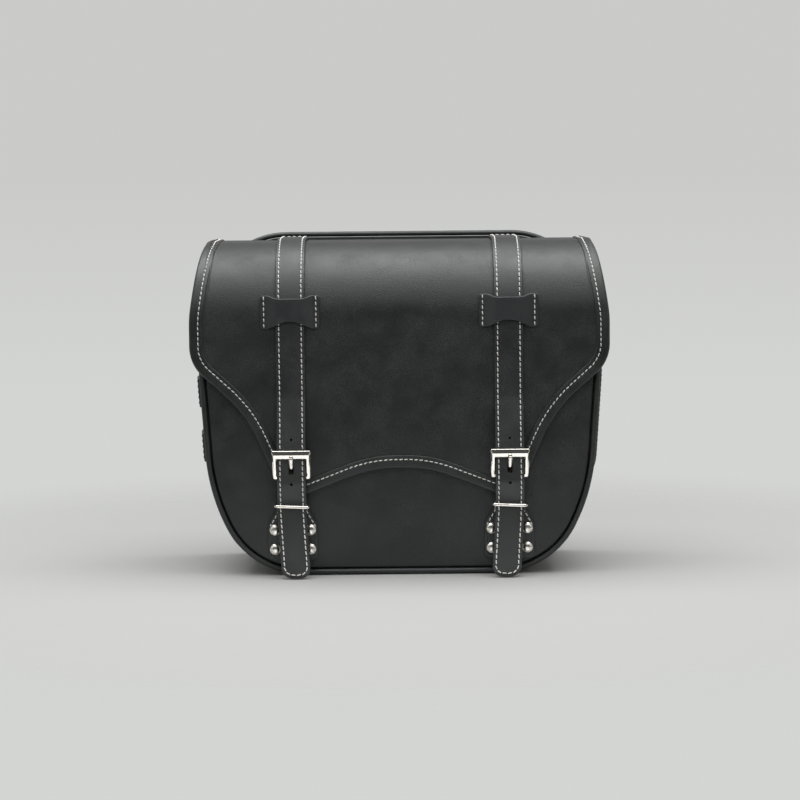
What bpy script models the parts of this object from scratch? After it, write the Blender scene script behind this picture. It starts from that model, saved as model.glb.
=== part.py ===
# A leather motorcycle saddlebag: a boxed body with a piped front and back, a lid that folds down
# over the front, and two straps held by buckles.
# Lengths are in millimetres and become metres when a mesh is written. X is across the bag, the
# front faces -Y, Z is up, and the origin is the middle of the flat base.
import bisect
import math

import bmesh
import bpy
from mathutils import Matrix, Vector

# Fits
GAP = 0.3  # between pieces that touch
SEWN_GAP = 0.15  # half the gap at the line where the lid folds

# Body
BODY_DEPTH = 130.0  # over the outer faces of the front and back panels
WIDE_HALF = 175.2  # half the width at its widest
WIDE_DROP = 92.0  # from the mouth down to the widest part
MOUTH_NARROWER = 9.2  # each side, at the top of the gusset
LOW_NARROWER = 8.5  # each side, where the sides start to round in
BASE_NARROWER = 44.1  # each side, where the line of the rounded sides meets the base
LOW_Z = 73.0
SIDE_BEND = 0.74  # share of the way from the widest part up to the front panel's top
LOW_RADIUS = 170.0
BASE_RADIUS = 75.0
MOUTH_Z = 282.0  # top edge of the gusset at the back
FRONT_DROP = 5.0  # from the end of the mouth's front corner down to the front panel's top
BACK_SEAM_DROP = 4.0  # from the mouth down to the top of the back panel's seam
PANEL_LEATHER = 3.0
GUSSET_LEATHER = 3.5
BOARD = 2.0  # stiffener boards
BOARD_DROP = 2.0  # the front board ends this far under its panel's top
BOARD_RISE = 20.0  # how far the base board runs up each rounded side
LINING = 0.8
LINING_DROP = 4.0
PIPING = 4.8  # diameter
PIPING_PROUD = 1.5  # how far the piping stands in front of its panel
PIPING_INSET = 0.2  # from the gusset's outer face in to the piping
BINDING = 1.0  # leather of every binding
MOUTH_BINDING_WIDTH = 9.0
MOUTH_BINDING_DROP = 4.0  # how far it runs on below the front corner
MOUTH_BINDING_SHORT = 2.5  # the front one ends this far from the piping

# Lid
LID_LEATHER = 2.2
LID_CLEARANCE = 5.3  # from the gusset's top edge up to the lid's leather
LID_STANDOFF = 3.6  # from the front panel out to the lid's leather
LID_RADIUS = 60.0  # bend from the top of the lid to its front
MOUTH_TIGHTER = 8.0  # the mouth's front corner turns on a radius this much smaller
LID_OVERHANG = 6.3  # past the widest part of the body, each side
LID_BACK_OVERHANG = 3.0  # past the mouth at the fold, each side
LID_TAPER = ((0.86, 80.0), (0.12, 110.0))  # shares of the bend, and radii, where it widens
LID_SHOULDER = (43.8, 30.0)  # below the bend, radius
LID_WAIST = (38.9, 0.6545, 120.0)  # past the strap, share of the way up to the shoulder, radius
LOBE_TIP = (5.0, -21.0, 14.0)  # past the strap, above the heel bar, radius
ARCH = (0.26, 7.7, 0.83)  # share of the way to the strap, above the heel bar, share it bends
LID_BINDING_WIDTH = 10.5
HINGE_IN = 15.0  # from the back panel's outer face in to the fold
HINGE_CLEARANCE = 3.0  # the binding and the straps start this far in front of the fold
LIP_RADIUS = 5.0
LIP_INSET = 1.0  # the lip is this much narrower than the lid, each side

# Straps, loops and chapes
STRAP_FROM_SIDE = 80.7  # middle of each strap, in from the widest part
STRAP_WIDTH = 25.0
STRAP_LEATHER = 3.0
STRAP_START = 1.5  # in front of the binding's end
STRAP_LEAVES_LID = (70.0, 50.0)  # above the heel bar, radius
STRAP_OVER_BAR = (5.0, -4.0, 0.4)  # heights above the heel bar, clearance from the chape
STRAP_BENDS = (8.0, 12.0, 25.0)  # its radii over the bar and under the keeper
STRAP_KEEPER_RISE = 6.0  # it lies flat on the chape from this far above the keeper
STRAP_TIP_Z = 1.5
STRAP_TIP_RADIUS = 9.0
TAIL_LEAN = 3.6  # degrees, towards the middle of the bag
TAIL_SPLAY = 5.6  # how far the tip stands in front of the strap under the keeper
PUNCH = 3.0  # diameter of the plain holes
PUNCH_RISES = (31.0, -6.0)  # above the heel bar
SLOT = (5.6, 15.0, 7.9)  # width and length of the tongue's hole, height above the heel bar
LOOP_END_HEIGHT = 28.0
LOOP_WAIST_HEIGHT = 20.0
LOOP_WAIST_RADIUS = 45.0
LOOP_LEATHER = 2.0
LOOP_CLEARANCE = 1.0  # beside the strap
LOOP_RAMP = 3.0  # run from the lid up to the strap's height
LOOP_BEND = 2.0
LOOP_RISE = 1.0  # its middle above the end of the lid's bend
CHAPE_NARROWER = 0.5  # than the strap, each side
CHAPE_LEATHER = 2.0
CHAPE_TAIL = (7.0, 6.0)  # below the stud, corner radius
CHAPE_FRONT_END = (6.5, 3.0)  # below the keeper, corner radius
CHAPE_CLOSED = 17.0  # its two layers meet this far under the heel bar
CHAPE_OPENS = (-4.0, 10.0)  # the front layer leaves the bar here, radius
CHAPE_SLOT = (2.0, 22.0, 4.0)  # wider than the tongue, length, middle past the heel bar
CHAPE_LID_GAP = 1.3  # from the lid's binding out to the chape

# Buckles
BAR_Z = 87.0
BAR = 3.8  # height of the heel bar, and depth of the whole frame
BAR_CLEARANCE = 0.5  # round the heel bar, in the chape and in the tongue's eye
FRAME_HEIGHT = 27.0
FRAME_LEG = 4.3
FRAME_TOP_BAR = 7.2
FRAME_SIDE_CLEARANCE = 0.4  # from the strap's edge to the frame's leg
FRAME_TILT = 27.5  # degrees, top bar forwards
FRAME_EDGE = 1.1
TONGUE_WIDTH = 4.0
TONGUE_THICKNESS = 2.4
TONGUE_LENGTH = 23.5
TONGUE_NOSE = 1.6
TONGUE_EYE_WALL = 1.6
TONGUE_EDGE = 0.5
EYE_STEPS = 14
KEEPER_DROP = 26.5  # below the heel bar
KEEPER_WIRE = 3.0
KEEPER_CLEARANCE = (0.5, 1.6)  # beside and in front of the strap
KEEPER_BEND = 2.6

# Buckle bases, rivets and press studs
BASE_WIDER = 18.0  # than its neck, which is as wide as the strap
BASE_UNDER_LID = 4.0  # below the lid's lobe
BASE_BOTTOM_Z = 13.5
BASE_NECK = 0.9175  # shares of its height
BASE_SHOULDER = 0.6289
BASE_CORNERS = (4.0, 3.0, 3.0, 5.0)  # radii, from the top down
BASE_LEATHER = 3.0
RIVET_IN = 6.0  # from the edge of the base
RIVET_HEIGHTS = (0.5175, 0.165)  # shares of the base's height
RIVET_HEAD = 10.8
RIVET_DOME = 3.2
RIVET_RIM = 0.5
RIVET_SHANK = 3.2
STUD_DROP = 15.5  # below the keeper
STUD_HEAD = 6.4
STUD_CROWN = 1.2
STUD_NECK = 4.8
STUD_SHANK = 3.6
STUD_FLANGE = (9.0, 0.8)  # diameter, thickness
SOCKET = 12.0
SOCKET_BORE = 9.4
SOCKET_DEPTH = 1.8
SOCKET_FLOOR = 0.3
SOCKET_CROWN = 1.6

# Mounting panel
MOUNT_ABOVE_LID = 6.0
MOUNT_BOTTOM_Z = 66.0
MOUNT_TOP_IN = 12.3  # in from the mouth, each side
MOUNT_SHOULDER = (28.0, 15.5, 70.0)  # in from the side, below the top, radius
MOUNT_BOTTOM_IN = 11.1  # in from the base's corners, each side
MOUNT_THICKNESS = 5.0
MOUNT_RADIUS = 24.0
MOUNT_ROLL = 4.6  # diameter of the rolled edge

# Side fittings on the gusset, which keep their share of its depth
SIDE_LOOP_HEIGHTS = (159.5, 111.5)
SIDE_LOOP_WIDTH = 26.0
SIDE_LOOP_SPAN = 0.57
SIDE_LOOP_RISE = 3.2  # clear height under the loop
SIDE_LOOP_RAMP = 6.0
SIDE_LEATHER = 2.4
SIDE_FLAT = 0.1  # sewn-down end of a loop
SIDE_MIDDLE = -0.108
SIDE_CORNER = 3.0
PATCH_BOTTOM_Z = 88.0
PATCH_UNDER_MOUTH = 68.0
PATCH_WIDTH = 0.446
PATCH_RADIUS = 12.0

ARC_STEP = 11.0  # usual turn between two points of an arc, in degrees
ARC_RUN = 1.2  # shortest run between two points of a small arc
ROUND_SIDES = 12
HOLE_SIDES = 8
OVERREACH = 9.0  # how far a cutter runs on past what it cuts
EDGE_ANGLE = 50.0  # edges sharper than this are rounded on the metal, in degrees
UNIT = 0.001

BLACK_LEATHER = ("black_leather", (0.020, 0.020, 0.021), 0.42, 0.0)
STRAP_LEATHER_BLACK = ("strap_leather", (0.018, 0.018, 0.019), 0.38, 0.0)
BACKING = ("leather_backing", (0.045, 0.042, 0.040), 0.9, 0.0)
CLOTH = ("lining_cloth", (0.030, 0.030, 0.032), 0.95, 0.0)
STIFF_BOARD = ("stiffener_board", (0.060, 0.055, 0.050), 0.8, 0.0)
NICKEL = ("polished_nickel", (0.78, 0.75, 0.70), 0.12, 1.0)

FRONT_Y = -BODY_DEPTH / 2
BACK_Y = BODY_DEPTH / 2
GUSSET_HALF_DEPTH = BODY_DEPTH / 2 + PIPING_PROUD - PIPING - GAP
MOUTH_HALF = WIDE_HALF - MOUTH_NARROWER
LOW_HALF = WIDE_HALF - LOW_NARROWER
BASE_HALF = WIDE_HALF - BASE_NARROWER
WIDE_Z = MOUTH_Z - WIDE_DROP
MOUTH_RADIUS = LID_RADIUS - MOUTH_TIGHTER
FRONT_TOP_Z = MOUTH_Z - MOUTH_RADIUS - FRONT_DROP
PANEL_INSET = PIPING_INSET + PIPING + GAP  # from the gusset's outer face in to a panel's edge
HINGE_Y = BACK_Y - HINGE_IN
LID_Z = MOUTH_Z + LID_CLEARANCE
LID_Y = FRONT_Y - LID_STANDOFF
LID_TOP_Z = LID_Z + LID_LEATHER
BEND_Z = LID_Z - LID_RADIUS  # the lid's bend ends here
LID_BACK_HALF = MOUTH_HALF + LID_BACK_OVERHANG
BINDING_PROUD = GAP + BINDING
STRAP_X = WIDE_HALF - STRAP_FROM_SIDE
LOBE_Z = BAR_Z + LOBE_TIP[1]
BASE_HEIGHT = LOBE_Z - BASE_UNDER_LID - BASE_BOTTOM_Z
KEEPER_Z = BAR_Z - KEEPER_DROP
STUD_Z = KEEPER_Z - STUD_DROP
STRAP_IN_Y = LID_Y - LID_LEATHER - GAP  # the strap's back face on the lid's front
CHAPE_BACK_Y = LID_Y - LID_LEATHER - BINDING_PROUD - CHAPE_LID_GAP
FOLD_RADIUS = BAR / 2 + BAR_CLEARANCE  # inside of the chape round the heel bar
BAR_Y = CHAPE_BACK_Y - CHAPE_LEATHER - FOLD_RADIUS
STRAP_BAR_Y = BAR_Y - FOLD_RADIUS - CHAPE_LEATHER - GAP
STRAP_KEEPER_Y = CHAPE_BACK_Y - 2 * CHAPE_LEATHER - 2 * GAP


def clear_scene():
    for obj in list(bpy.data.objects):
        bpy.data.objects.remove(obj, do_unlink=True)


def material(finish):
    name, colour, roughness, metallic = finish
    found = bpy.data.materials.get(name)
    if found:
        return found
    made = bpy.data.materials.new(name)
    made.use_nodes = True
    shader = made.node_tree.nodes["Principled BSDF"]
    shader.inputs["Base Color"].default_value = (*colour, 1)
    shader.inputs["Roughness"].default_value = roughness
    shader.inputs["Metallic"].default_value = metallic
    return made


# Outlines: corners turned on radii, lines offset sideways

def rounded(corners, closed=True):
    # Corners are (a, b, radius). The line turns each corner on its radius.
    line = []
    last = len(corners) - 1
    for i, (a, b, radius) in enumerate(corners):
        here = Vector((a, b))
        if radius == 0 or (not closed and i in (0, last)):
            line.append(here)
            continue
        back = (Vector(corners[i - 1][:2]) - here).normalized()
        ahead = (Vector(corners[(i + 1) % len(corners)][:2]) - here).normalized()
        half = back.angle(ahead) / 2
        turn = math.pi - 2 * half
        centre = here + (back + ahead).normalized() * (radius / math.sin(half))
        start = here + back * (radius / math.tan(half)) - centre
        side = math.copysign(1, ahead.x * back.y - ahead.y * back.x)
        steps = math.ceil(min(math.degrees(turn) / ARC_STEP, turn * radius / ARC_RUN))
        steps = max(2, steps)
        for k in range(steps + 1):
            line.append(centre + Matrix.Rotation(side * turn * k / steps, 2) @ start)
    return line


def right_normals(line):
    # Mitred normals on the right of the line, as long as keeps an offset's width even.
    sides = []
    for a, b in zip(line, line[1:]):
        run = (b - a).normalized()
        sides.append(Vector((run.y, -run.x)))
    normals = [sides[0]]
    for a, b in zip(sides, sides[1:]):
        normals.append((a + b) / (1 + a.dot(b)))
    normals.append(sides[-1])
    return normals


def radius_for(run, before, corner, after):
    # The radius that starts to turn a corner this far before it.
    back, ahead = Vector(before) - Vector(corner), Vector(after) - Vector(corner)
    return run * math.tan(back.angle(ahead) / 2)


def offset(line, distance):
    # The line moved sideways: to its right where distance is positive.
    return [p + n * distance for p, n in zip(line, right_normals(line))]


def mirrored(half):
    # Corners on the left, in order towards the middle, and the same on the right, in order out.
    return half + [(-a, b, radius) for a, b, radius in reversed(half)]


# Formers: the bent lines that flat leather follows

def former(line, place):
    stations = [0.0]
    for a, b in zip(line, line[1:]):
        stations.append(stations[-1] + (b - a).length)
    return {"line": line, "stations": stations, "normals": right_normals(line), "place": place}


def bend(shape, point):
    # Flat (across, along, height) to its place on the former.
    across, along, height = point
    stations, line, normals = shape["stations"], shape["line"], shape["normals"]
    i = min(max(bisect.bisect_right(stations, along) - 1, 0), len(line) - 2)
    share = (along - stations[i]) / (stations[i + 1] - stations[i])
    start = line[i] + normals[i] * height
    end = line[i + 1] + normals[i + 1] * height
    return shape["place"](across, start + (end - start) * share)


def across_x(across, p):
    return Vector((across, p.x, p.y))


def across_y(across, p):
    return Vector((p.x, across, p.y))


def across_z(across, p):
    return Vector((p.x, p.y, across))


def flat_front(face_y):
    # Flat stock that stands at face_y: across is X, along is Z, and it thickens forwards.
    line = [Vector((face_y, 0)), Vector((face_y, 2 * LID_TOP_Z))]
    shape = former(line, across_x)
    shape["normals"] = [Vector((-1, 0)), Vector((-1, 0))]
    return shape


def finish(name, bm, look, smooth_angle=35):
    bmesh.ops.remove_doubles(bm, verts=bm.verts[:], dist=1e-4)
    bmesh.ops.scale(bm, vec=(UNIT, UNIT, UNIT), verts=bm.verts[:])
    bmesh.ops.recalc_face_normals(bm, faces=bm.faces[:])
    mesh = bpy.data.meshes.new(name)
    bm.to_mesh(mesh)
    bm.free()
    mesh.materials.append(material(look))
    mesh.shade_smooth()
    mesh.set_sharp_from_angle(angle=math.radians(smooth_angle))
    obj = bpy.data.objects.new(name, mesh)
    bpy.context.scene.collection.objects.link(obj)
    return obj


def flat_stock(loops, low):
    # A flat solid with the first loop as its outline and the others as holes.
    bm = bmesh.new()
    edges = []
    for loop in loops:
        verts = [bm.verts.new((p[0], p[1], low)) for p in loop]
        edges += [bm.edges.new(pair) for pair in zip(verts, verts[1:] + verts[:1])]
    if len(loops) > 1:
        bmesh.ops.triangle_fill(bm, edges=edges, use_beauty=True)
    else:
        bm.faces.new(verts)
    bmesh.ops.recalc_face_normals(bm, faces=bm.faces[:])
    return bm


def sheet(name, loops, low, high, shape, look):
    # Leather cut flat to its loops, then bent round a former. Heights are off the former's line.
    bm = flat_stock(loops, low)
    for station in shape["stations"][1:-1]:
        geometry = bm.verts[:] + bm.edges[:] + bm.faces[:]
        bmesh.ops.bisect_plane(
            bm, geom=geometry, plane_co=(0, station, 0), plane_no=(0, 1, 0), dist=1e-4
        )
    grown = bmesh.ops.extrude_face_region(bm, geom=bm.faces[:])["geom"]
    for vert in grown:
        if isinstance(vert, bmesh.types.BMVert):
            vert.co.z = high
    for vert in bm.verts:
        vert.co = bend(shape, vert.co)
    return finish(name, bm, look)


def as_cutter(obj):
    obj.hide_render = True
    obj.display_type = "WIRE"
    return obj


def boolean(obj, other, operation="DIFFERENCE"):
    modifier = obj.modifiers.new(operation.lower(), "BOOLEAN")
    modifier.operation = operation
    modifier.object = as_cutter(other)
    return obj


def circle(a, b, diameter, sides=ROUND_SIDES):
    step = 2 * math.pi / sides
    radius = diameter / 2
    return [Vector((a + radius * math.cos(step * k), b + radius * math.sin(step * k)))
            for k in range(sides)]


def turned(name, profile, look, sides=ROUND_SIDES):
    # A revolve about Y. The profile is (radius, y) from pole to pole.
    bm = bmesh.new()
    verts = [bm.verts.new((radius, y, 0)) for radius, y in profile]
    edges = [bm.edges.new(pair) for pair in zip(verts, verts[1:])]
    bmesh.ops.spin(bm, geom=verts + edges, cent=(0, 0, 0), axis=(0, 1, 0),
                   angle=2 * math.pi, steps=sides, use_merge=True)
    bmesh.ops.remove_doubles(bm, verts=bm.verts[:], dist=1e-3)
    return finish(name, bm, look)


def tube(name, points, diameter, look, closed=False, resolution=2):
    curve = bpy.data.curves.new(name, "CURVE")
    curve.dimensions = "3D"
    curve.bevel_depth = diameter / 2 * UNIT
    curve.bevel_resolution = resolution
    curve.use_fill_caps = True
    spline = curve.splines.new("POLY")
    spline.points.add(len(points) - 1)
    for point, place in zip(spline.points, points):
        point.co = (*(Vector(place) * UNIT), 1)
    spline.use_cyclic_u = closed
    curve.materials.append(material(look))
    obj = bpy.data.objects.new(name, curve)
    bpy.context.scene.collection.objects.link(obj)
    return obj


def move(obj, x, y, z):
    obj.location = Vector((x, y, z)) * UNIT
    return obj


# Body

def body_half_at(z):
    # Half the body's width on the straight run above its widest part.
    return WIDE_HALF + (MOUTH_HALF - WIDE_HALF) * (z - WIDE_Z) / (MOUTH_Z - WIDE_Z)


def body_line(top_z):
    # The outside of the gusset from top_z on the left, down and round to top_z on the right.
    side_radius = radius_for(SIDE_BEND * (FRONT_TOP_Z - WIDE_Z), (-MOUTH_HALF, MOUTH_Z),
                             (-WIDE_HALF, WIDE_Z), (-LOW_HALF, LOW_Z))
    left = [
        (-body_half_at(top_z), top_z, 0),
        (-WIDE_HALF, WIDE_Z, side_radius),
        (-LOW_HALF, LOW_Z, LOW_RADIUS),
        (-BASE_HALF, 0, BASE_RADIUS),
    ]
    return rounded(mirrored(left), closed=False)


def rivet_places():
    spread = (STRAP_WIDTH + BASE_WIDER) / 2 - RIVET_IN
    for side in (-1, 1):
        for share in RIVET_HEIGHTS:
            for along in (-spread, spread):
                yield side, side * STRAP_X + along, BASE_BOTTOM_Z + share * BASE_HEIGHT


def rivet_holes(side=0):
    return [circle(x, z, RIVET_SHANK + 2 * GAP, HOLE_SIDES)
            for which, x, z in rivet_places() if side in (0, which)]


def gusset():
    line = body_line(MOUTH_Z)
    shape = former(line, across_y)
    end = shape["stations"][-1]
    half = GUSSET_HALF_DEPTH
    outline = rounded([(-half, 0, MOUTH_RADIUS), (-half, end, MOUTH_RADIUS),
                       (half, end, 0), (half, 0, 0)])
    sheet("gusset", [outline], -GUSSET_LEATHER, 0, shape, BLACK_LEATHER)
    mouth_side_bindings(shape, end, half)


def mouth_side_bindings(shape, end, half):
    # A folded strip over the top edge of each end of the gusset, and round its front corner.
    for name, top in (("mouth_binding_left", 0), ("mouth_binding_right", end)):
        inward = 1 if top == 0 else -1
        corner_end = top + inward * (MOUTH_RADIUS + MOUTH_BINDING_DROP)
        edge = rounded([(half - PIPING_INSET, top, 0), (-half, top, MOUTH_RADIUS),
                        (-half, corner_end, 0)], closed=False)
        outer = offset(edge, -BINDING_PROUD * inward)
        band = outer + offset(edge, MOUTH_BINDING_WIDTH * inward)[::-1]
        grown = offset(edge, -GAP * inward)
        start, stop = grown[0], grown[-1] + Vector((0, OVERREACH * inward))
        grown = [start + Vector((OVERREACH, 0))] + grown + [stop]
        grown.append(Vector((half + OVERREACH, stop.y)))
        ring = sheet(name, [band], -GUSSET_LEATHER - BINDING_PROUD, BINDING_PROUD,
                     shape, BLACK_LEATHER)
        core = sheet(name + "_core", [grown], -GUSSET_LEATHER - GAP, GAP, shape, BLACK_LEATHER)
        boolean(ring, core)


def panel_outline(inset, top_z):
    # A flat panel's outline inside the body line.
    return offset(body_line(top_z), -inset)


def front_panel():
    outline = panel_outline(PANEL_INSET, FRONT_TOP_Z)
    sheet("front_panel", [outline] + rivet_holes(), -PANEL_LEATHER, 0,
          flat_front(FRONT_Y), BLACK_LEATHER)


def back_panel():
    # The back panel runs up and forwards over the gusset as the lip that the lid folds on.
    inner_y = BACK_Y - PANEL_LEATHER
    lip_z = LID_TOP_Z - PANEL_LEATHER
    line = rounded([(inner_y, 0, 0), (inner_y, lip_z, LIP_RADIUS),
                    (HINGE_Y + SEWN_GAP, lip_z, 0)], closed=False)
    shape = former(line, across_x)
    top = shape["stations"][-1]
    sides = panel_outline(PANEL_INSET, MOUTH_Z - BACK_SEAM_DROP)
    lip = LID_BACK_HALF - LIP_INSET
    outline = [Vector((-lip, top)), Vector((-lip, lip_z))] + sides
    outline += [Vector((lip, lip_z)), Vector((lip, top))]
    sheet("back_panel", [outline], 0, PANEL_LEATHER, shape, BLACK_LEATHER)


def piping():
    inset = PIPING / 2 + PIPING_INSET
    middle = BODY_DEPTH / 2 + PIPING_PROUD - PIPING / 2
    for name, y, top in (("front_piping", -middle, FRONT_TOP_Z),
                         ("back_piping", middle, MOUTH_Z - BACK_SEAM_DROP)):
        points = [(p.x, y, p.y) for p in offset(body_line(top), -inset)]
        tube(name, points, PIPING, BLACK_LEATHER)


def boards_and_lining():
    inset = GUSSET_LEATHER + GAP
    front_face = FRONT_Y + PANEL_LEATHER + GAP
    sheet("front_stiffener", [panel_outline(inset, FRONT_TOP_Z - BOARD_DROP)] + rivet_holes(),
          -BOARD, 0, flat_front(front_face), STIFF_BOARD)
    back_face = BACK_Y - PANEL_LEATHER - GAP - BOARD
    back_top = MOUTH_Z - MOUTH_BINDING_WIDTH - BOARD_DROP - BINDING
    sheet("back_stiffener", [panel_outline(inset, back_top)], -BOARD, 0,
          flat_front(back_face), STIFF_BOARD)
    board_half = -front_face - BOARD - GAP
    line = offset(body_line(FRONT_TOP_Z), -inset)
    shape = former(line, across_y)
    middle = shape["stations"][-1] / 2
    reach = BASE_HALF + BOARD_RISE
    outline = [Vector((-board_half, middle - reach)), Vector((board_half, middle - reach)),
               Vector((board_half, middle + reach)), Vector((-board_half, middle + reach))]
    sheet("base_stiffener", [outline], -BOARD, 0, shape, STIFF_BOARD)
    lining(inset + BOARD + GAP, board_half)


def lining(inset, half_depth):
    # An open tray of cloth inside the boards.
    top = FRONT_TOP_Z - LINING_DROP
    outer = block("lining", panel_outline(inset, top), half_depth, CLOTH)
    inner = panel_outline(inset + LINING, top)
    inner[0].y = inner[-1].y = top + OVERREACH
    boolean(outer, block("lining_space", inner, half_depth - LINING, CLOTH))


def block(name, outline, half_depth, look):
    # A prism along Y with an outline in X and Z.
    bm = bmesh.new()
    face = bm.faces.new([bm.verts.new((p[0], -half_depth, p[1])) for p in outline])
    grown = bmesh.ops.extrude_face_region(bm, geom=[face])["geom"]
    for vert in grown:
        if isinstance(vert, bmesh.types.BMVert):
            vert.co.y = half_depth
    return finish(name, bm, look)


def front_mouth_binding():
    # A folded strip over the top edge of the front panel.
    half = body_half_at(FRONT_TOP_Z) - PIPING - MOUTH_BINDING_SHORT
    front = FRONT_Y - BINDING_PROUD
    back = FRONT_Y + PANEL_LEATHER + BINDING_PROUD
    top = FRONT_TOP_Z + BINDING_PROUD
    low_front = FRONT_TOP_Z - MOUTH_BINDING_WIDTH
    low_back = FRONT_TOP_Z - BOARD_DROP + GAP
    section = [(front, low_front), (front + BINDING, low_front), (front + BINDING, top - BINDING),
               (back - BINDING, top - BINDING), (back - BINDING, low_back), (back, low_back),
               (back, top), (front, top)]
    bm = bmesh.new()
    face = bm.faces.new([bm.verts.new((-half, y, z)) for y, z in section])
    grown = bmesh.ops.extrude_face_region(bm, geom=[face])["geom"]
    for vert in grown:
        if isinstance(vert, bmesh.types.BMVert):
            vert.co.x = half
    finish("mouth_binding_front", bm, BLACK_LEATHER)


# Lid

def lid_former():
    line = rounded([(HINGE_Y - SEWN_GAP, LID_Z, 0), (LID_Y, LID_Z, LID_RADIUS), (LID_Y, 0, 0)],
                   closed=False)
    return former(line, across_x)


def along_lid(shape, z):
    # How far along the lid's pattern its vertical front is at height z.
    return shape["stations"][-1] - z


def lid_edge(shape):
    # The lid's free edge in its flat pattern, from the left end of the fold to the right end.
    front_half = WIDE_HALF + LID_OVERHANG
    bend_end = along_lid(shape, BEND_Z)
    bend_length = LID_RADIUS * math.pi / 2
    widens, is_wide = LID_TAPER
    shoulder_z = BEND_Z - LID_SHOULDER[0]
    waist_z = LOBE_Z + LID_WAIST[1] * (shoulder_z - LOBE_Z)
    tip = (-STRAP_X - LOBE_TIP[0], along_lid(shape, LOBE_Z))
    arch = (-ARCH[0] * STRAP_X, along_lid(shape, BAR_Z + ARCH[1]))
    arch_radius = radius_for(-ARCH[2] * arch[0], tip, arch, (0, arch[1]))
    half = [
        (-LID_BACK_HALF, 0, 0),
        (-LID_BACK_HALF, bend_end - widens[0] * bend_length, widens[1]),
        (-front_half, bend_end - is_wide[0] * bend_length, is_wide[1]),
        (-front_half, along_lid(shape, shoulder_z), LID_SHOULDER[1]),
        (-STRAP_X - LID_WAIST[0], along_lid(shape, waist_z), LID_WAIST[2]),
        (*tip, LOBE_TIP[2]),
        (*arch, arch_radius),
    ]
    return rounded(mirrored(half), closed=False)


def lid():
    shape = lid_former()
    edge = lid_edge(shape)
    sheet("lid", [edge], 0, LID_LEATHER, shape, BLACK_LEATHER)
    lining_edge = offset(edge, LID_BINDING_WIDTH + GAP)
    sheet("lid_lining", [lining_edge], -GAP - LINING, -GAP, shape, BACKING)
    bound = [Vector((p.x, max(p.y, HINGE_CLEARANCE))) for p in edge]
    band = offset(bound, -BINDING_PROUD) + offset(bound, LID_BINDING_WIDTH)[::-1]
    core = offset(edge, -GAP)
    core[0].y = core[-1].y = -OVERREACH
    ring = sheet("lid_binding", [band], -BINDING_PROUD, LID_LEATHER + BINDING_PROUD,
                 shape, BLACK_LEATHER)
    boolean(ring, sheet("lid_binding_core", [core], -GAP, LID_LEATHER + GAP,
                        shape, BLACK_LEATHER))


# Straps and what holds them

def strap_former():
    # Down over the lid, out over the heel bar and the chape, and in again behind the keeper.
    radius = LID_RADIUS + LID_LEATHER + GAP
    top = LID_TOP_Z + GAP
    rise, leaving_radius = STRAP_LEAVES_LID
    above, below, clearance = STRAP_OVER_BAR
    line = rounded([
        (HINGE_Y - HINGE_CLEARANCE - STRAP_START, top, 0),
        (STRAP_IN_Y, top, radius),
        (STRAP_IN_Y, BAR_Z + rise, leaving_radius),
        (STRAP_BAR_Y - clearance, BAR_Z + above, STRAP_BENDS[0]),
        (STRAP_BAR_Y - clearance, BAR_Z + below, STRAP_BENDS[1]),
        (STRAP_KEEPER_Y - GAP, KEEPER_Z + STRAP_KEEPER_RISE, STRAP_BENDS[2]),
        (STRAP_KEEPER_Y - TAIL_SPLAY, STRAP_TIP_Z, 0),
    ], closed=False)
    return former(line, across_x)


def along_strap(shape, z):
    # The station of the strap's front run at height z.
    for i in range(len(shape["line"]) - 2, -1, -1):
        low, high = shape["line"][i + 1], shape["line"][i]
        if low.y <= z <= high.y:
            share = (high.y - z) / (high.y - low.y)
            return shape["stations"][i] + share * (low - high).length
    return 0


def slot_outline(a, b, width, length):
    half, straight = width / 2, length / 2
    radius = half * 0.999
    return rounded([(a - half, b - straight, radius), (a + half, b - straight, radius),
                    (a + half, b + straight, radius), (a - half, b + straight, radius)])


def straps():
    shape = strap_former()
    end = shape["stations"][-1]
    half = STRAP_WIDTH / 2
    for side, name in ((-1, "strap_left"), (1, "strap_right")):
        x = side * STRAP_X
        outline = rounded([(x - half, 0, 0), (x + half, 0, 0),
                           (x + half, end, STRAP_TIP_RADIUS), (x - half, end, STRAP_TIP_RADIUS)])
        holes = [circle(x, along_strap(shape, BAR_Z + rise), PUNCH, HOLE_SIDES)
                 for rise in PUNCH_RISES]
        width, length, rise = SLOT
        holes.append(slot_outline(x, along_strap(shape, BAR_Z + rise), width, length))
        strap = sheet(name, [outline] + holes, 0, STRAP_LEATHER, shape, STRAP_LEATHER_BLACK)
        lean_tail(strap, side)


def lean_tail(strap, side):
    # Under the keeper the tail leans towards the middle of the bag.
    slope = math.tan(math.radians(TAIL_LEAN))
    start = (KEEPER_Z - KEEPER_WIRE) * UNIT
    for vert in strap.data.vertices:
        vert.co.x -= side * slope * max(0, start - vert.co.z)


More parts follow.
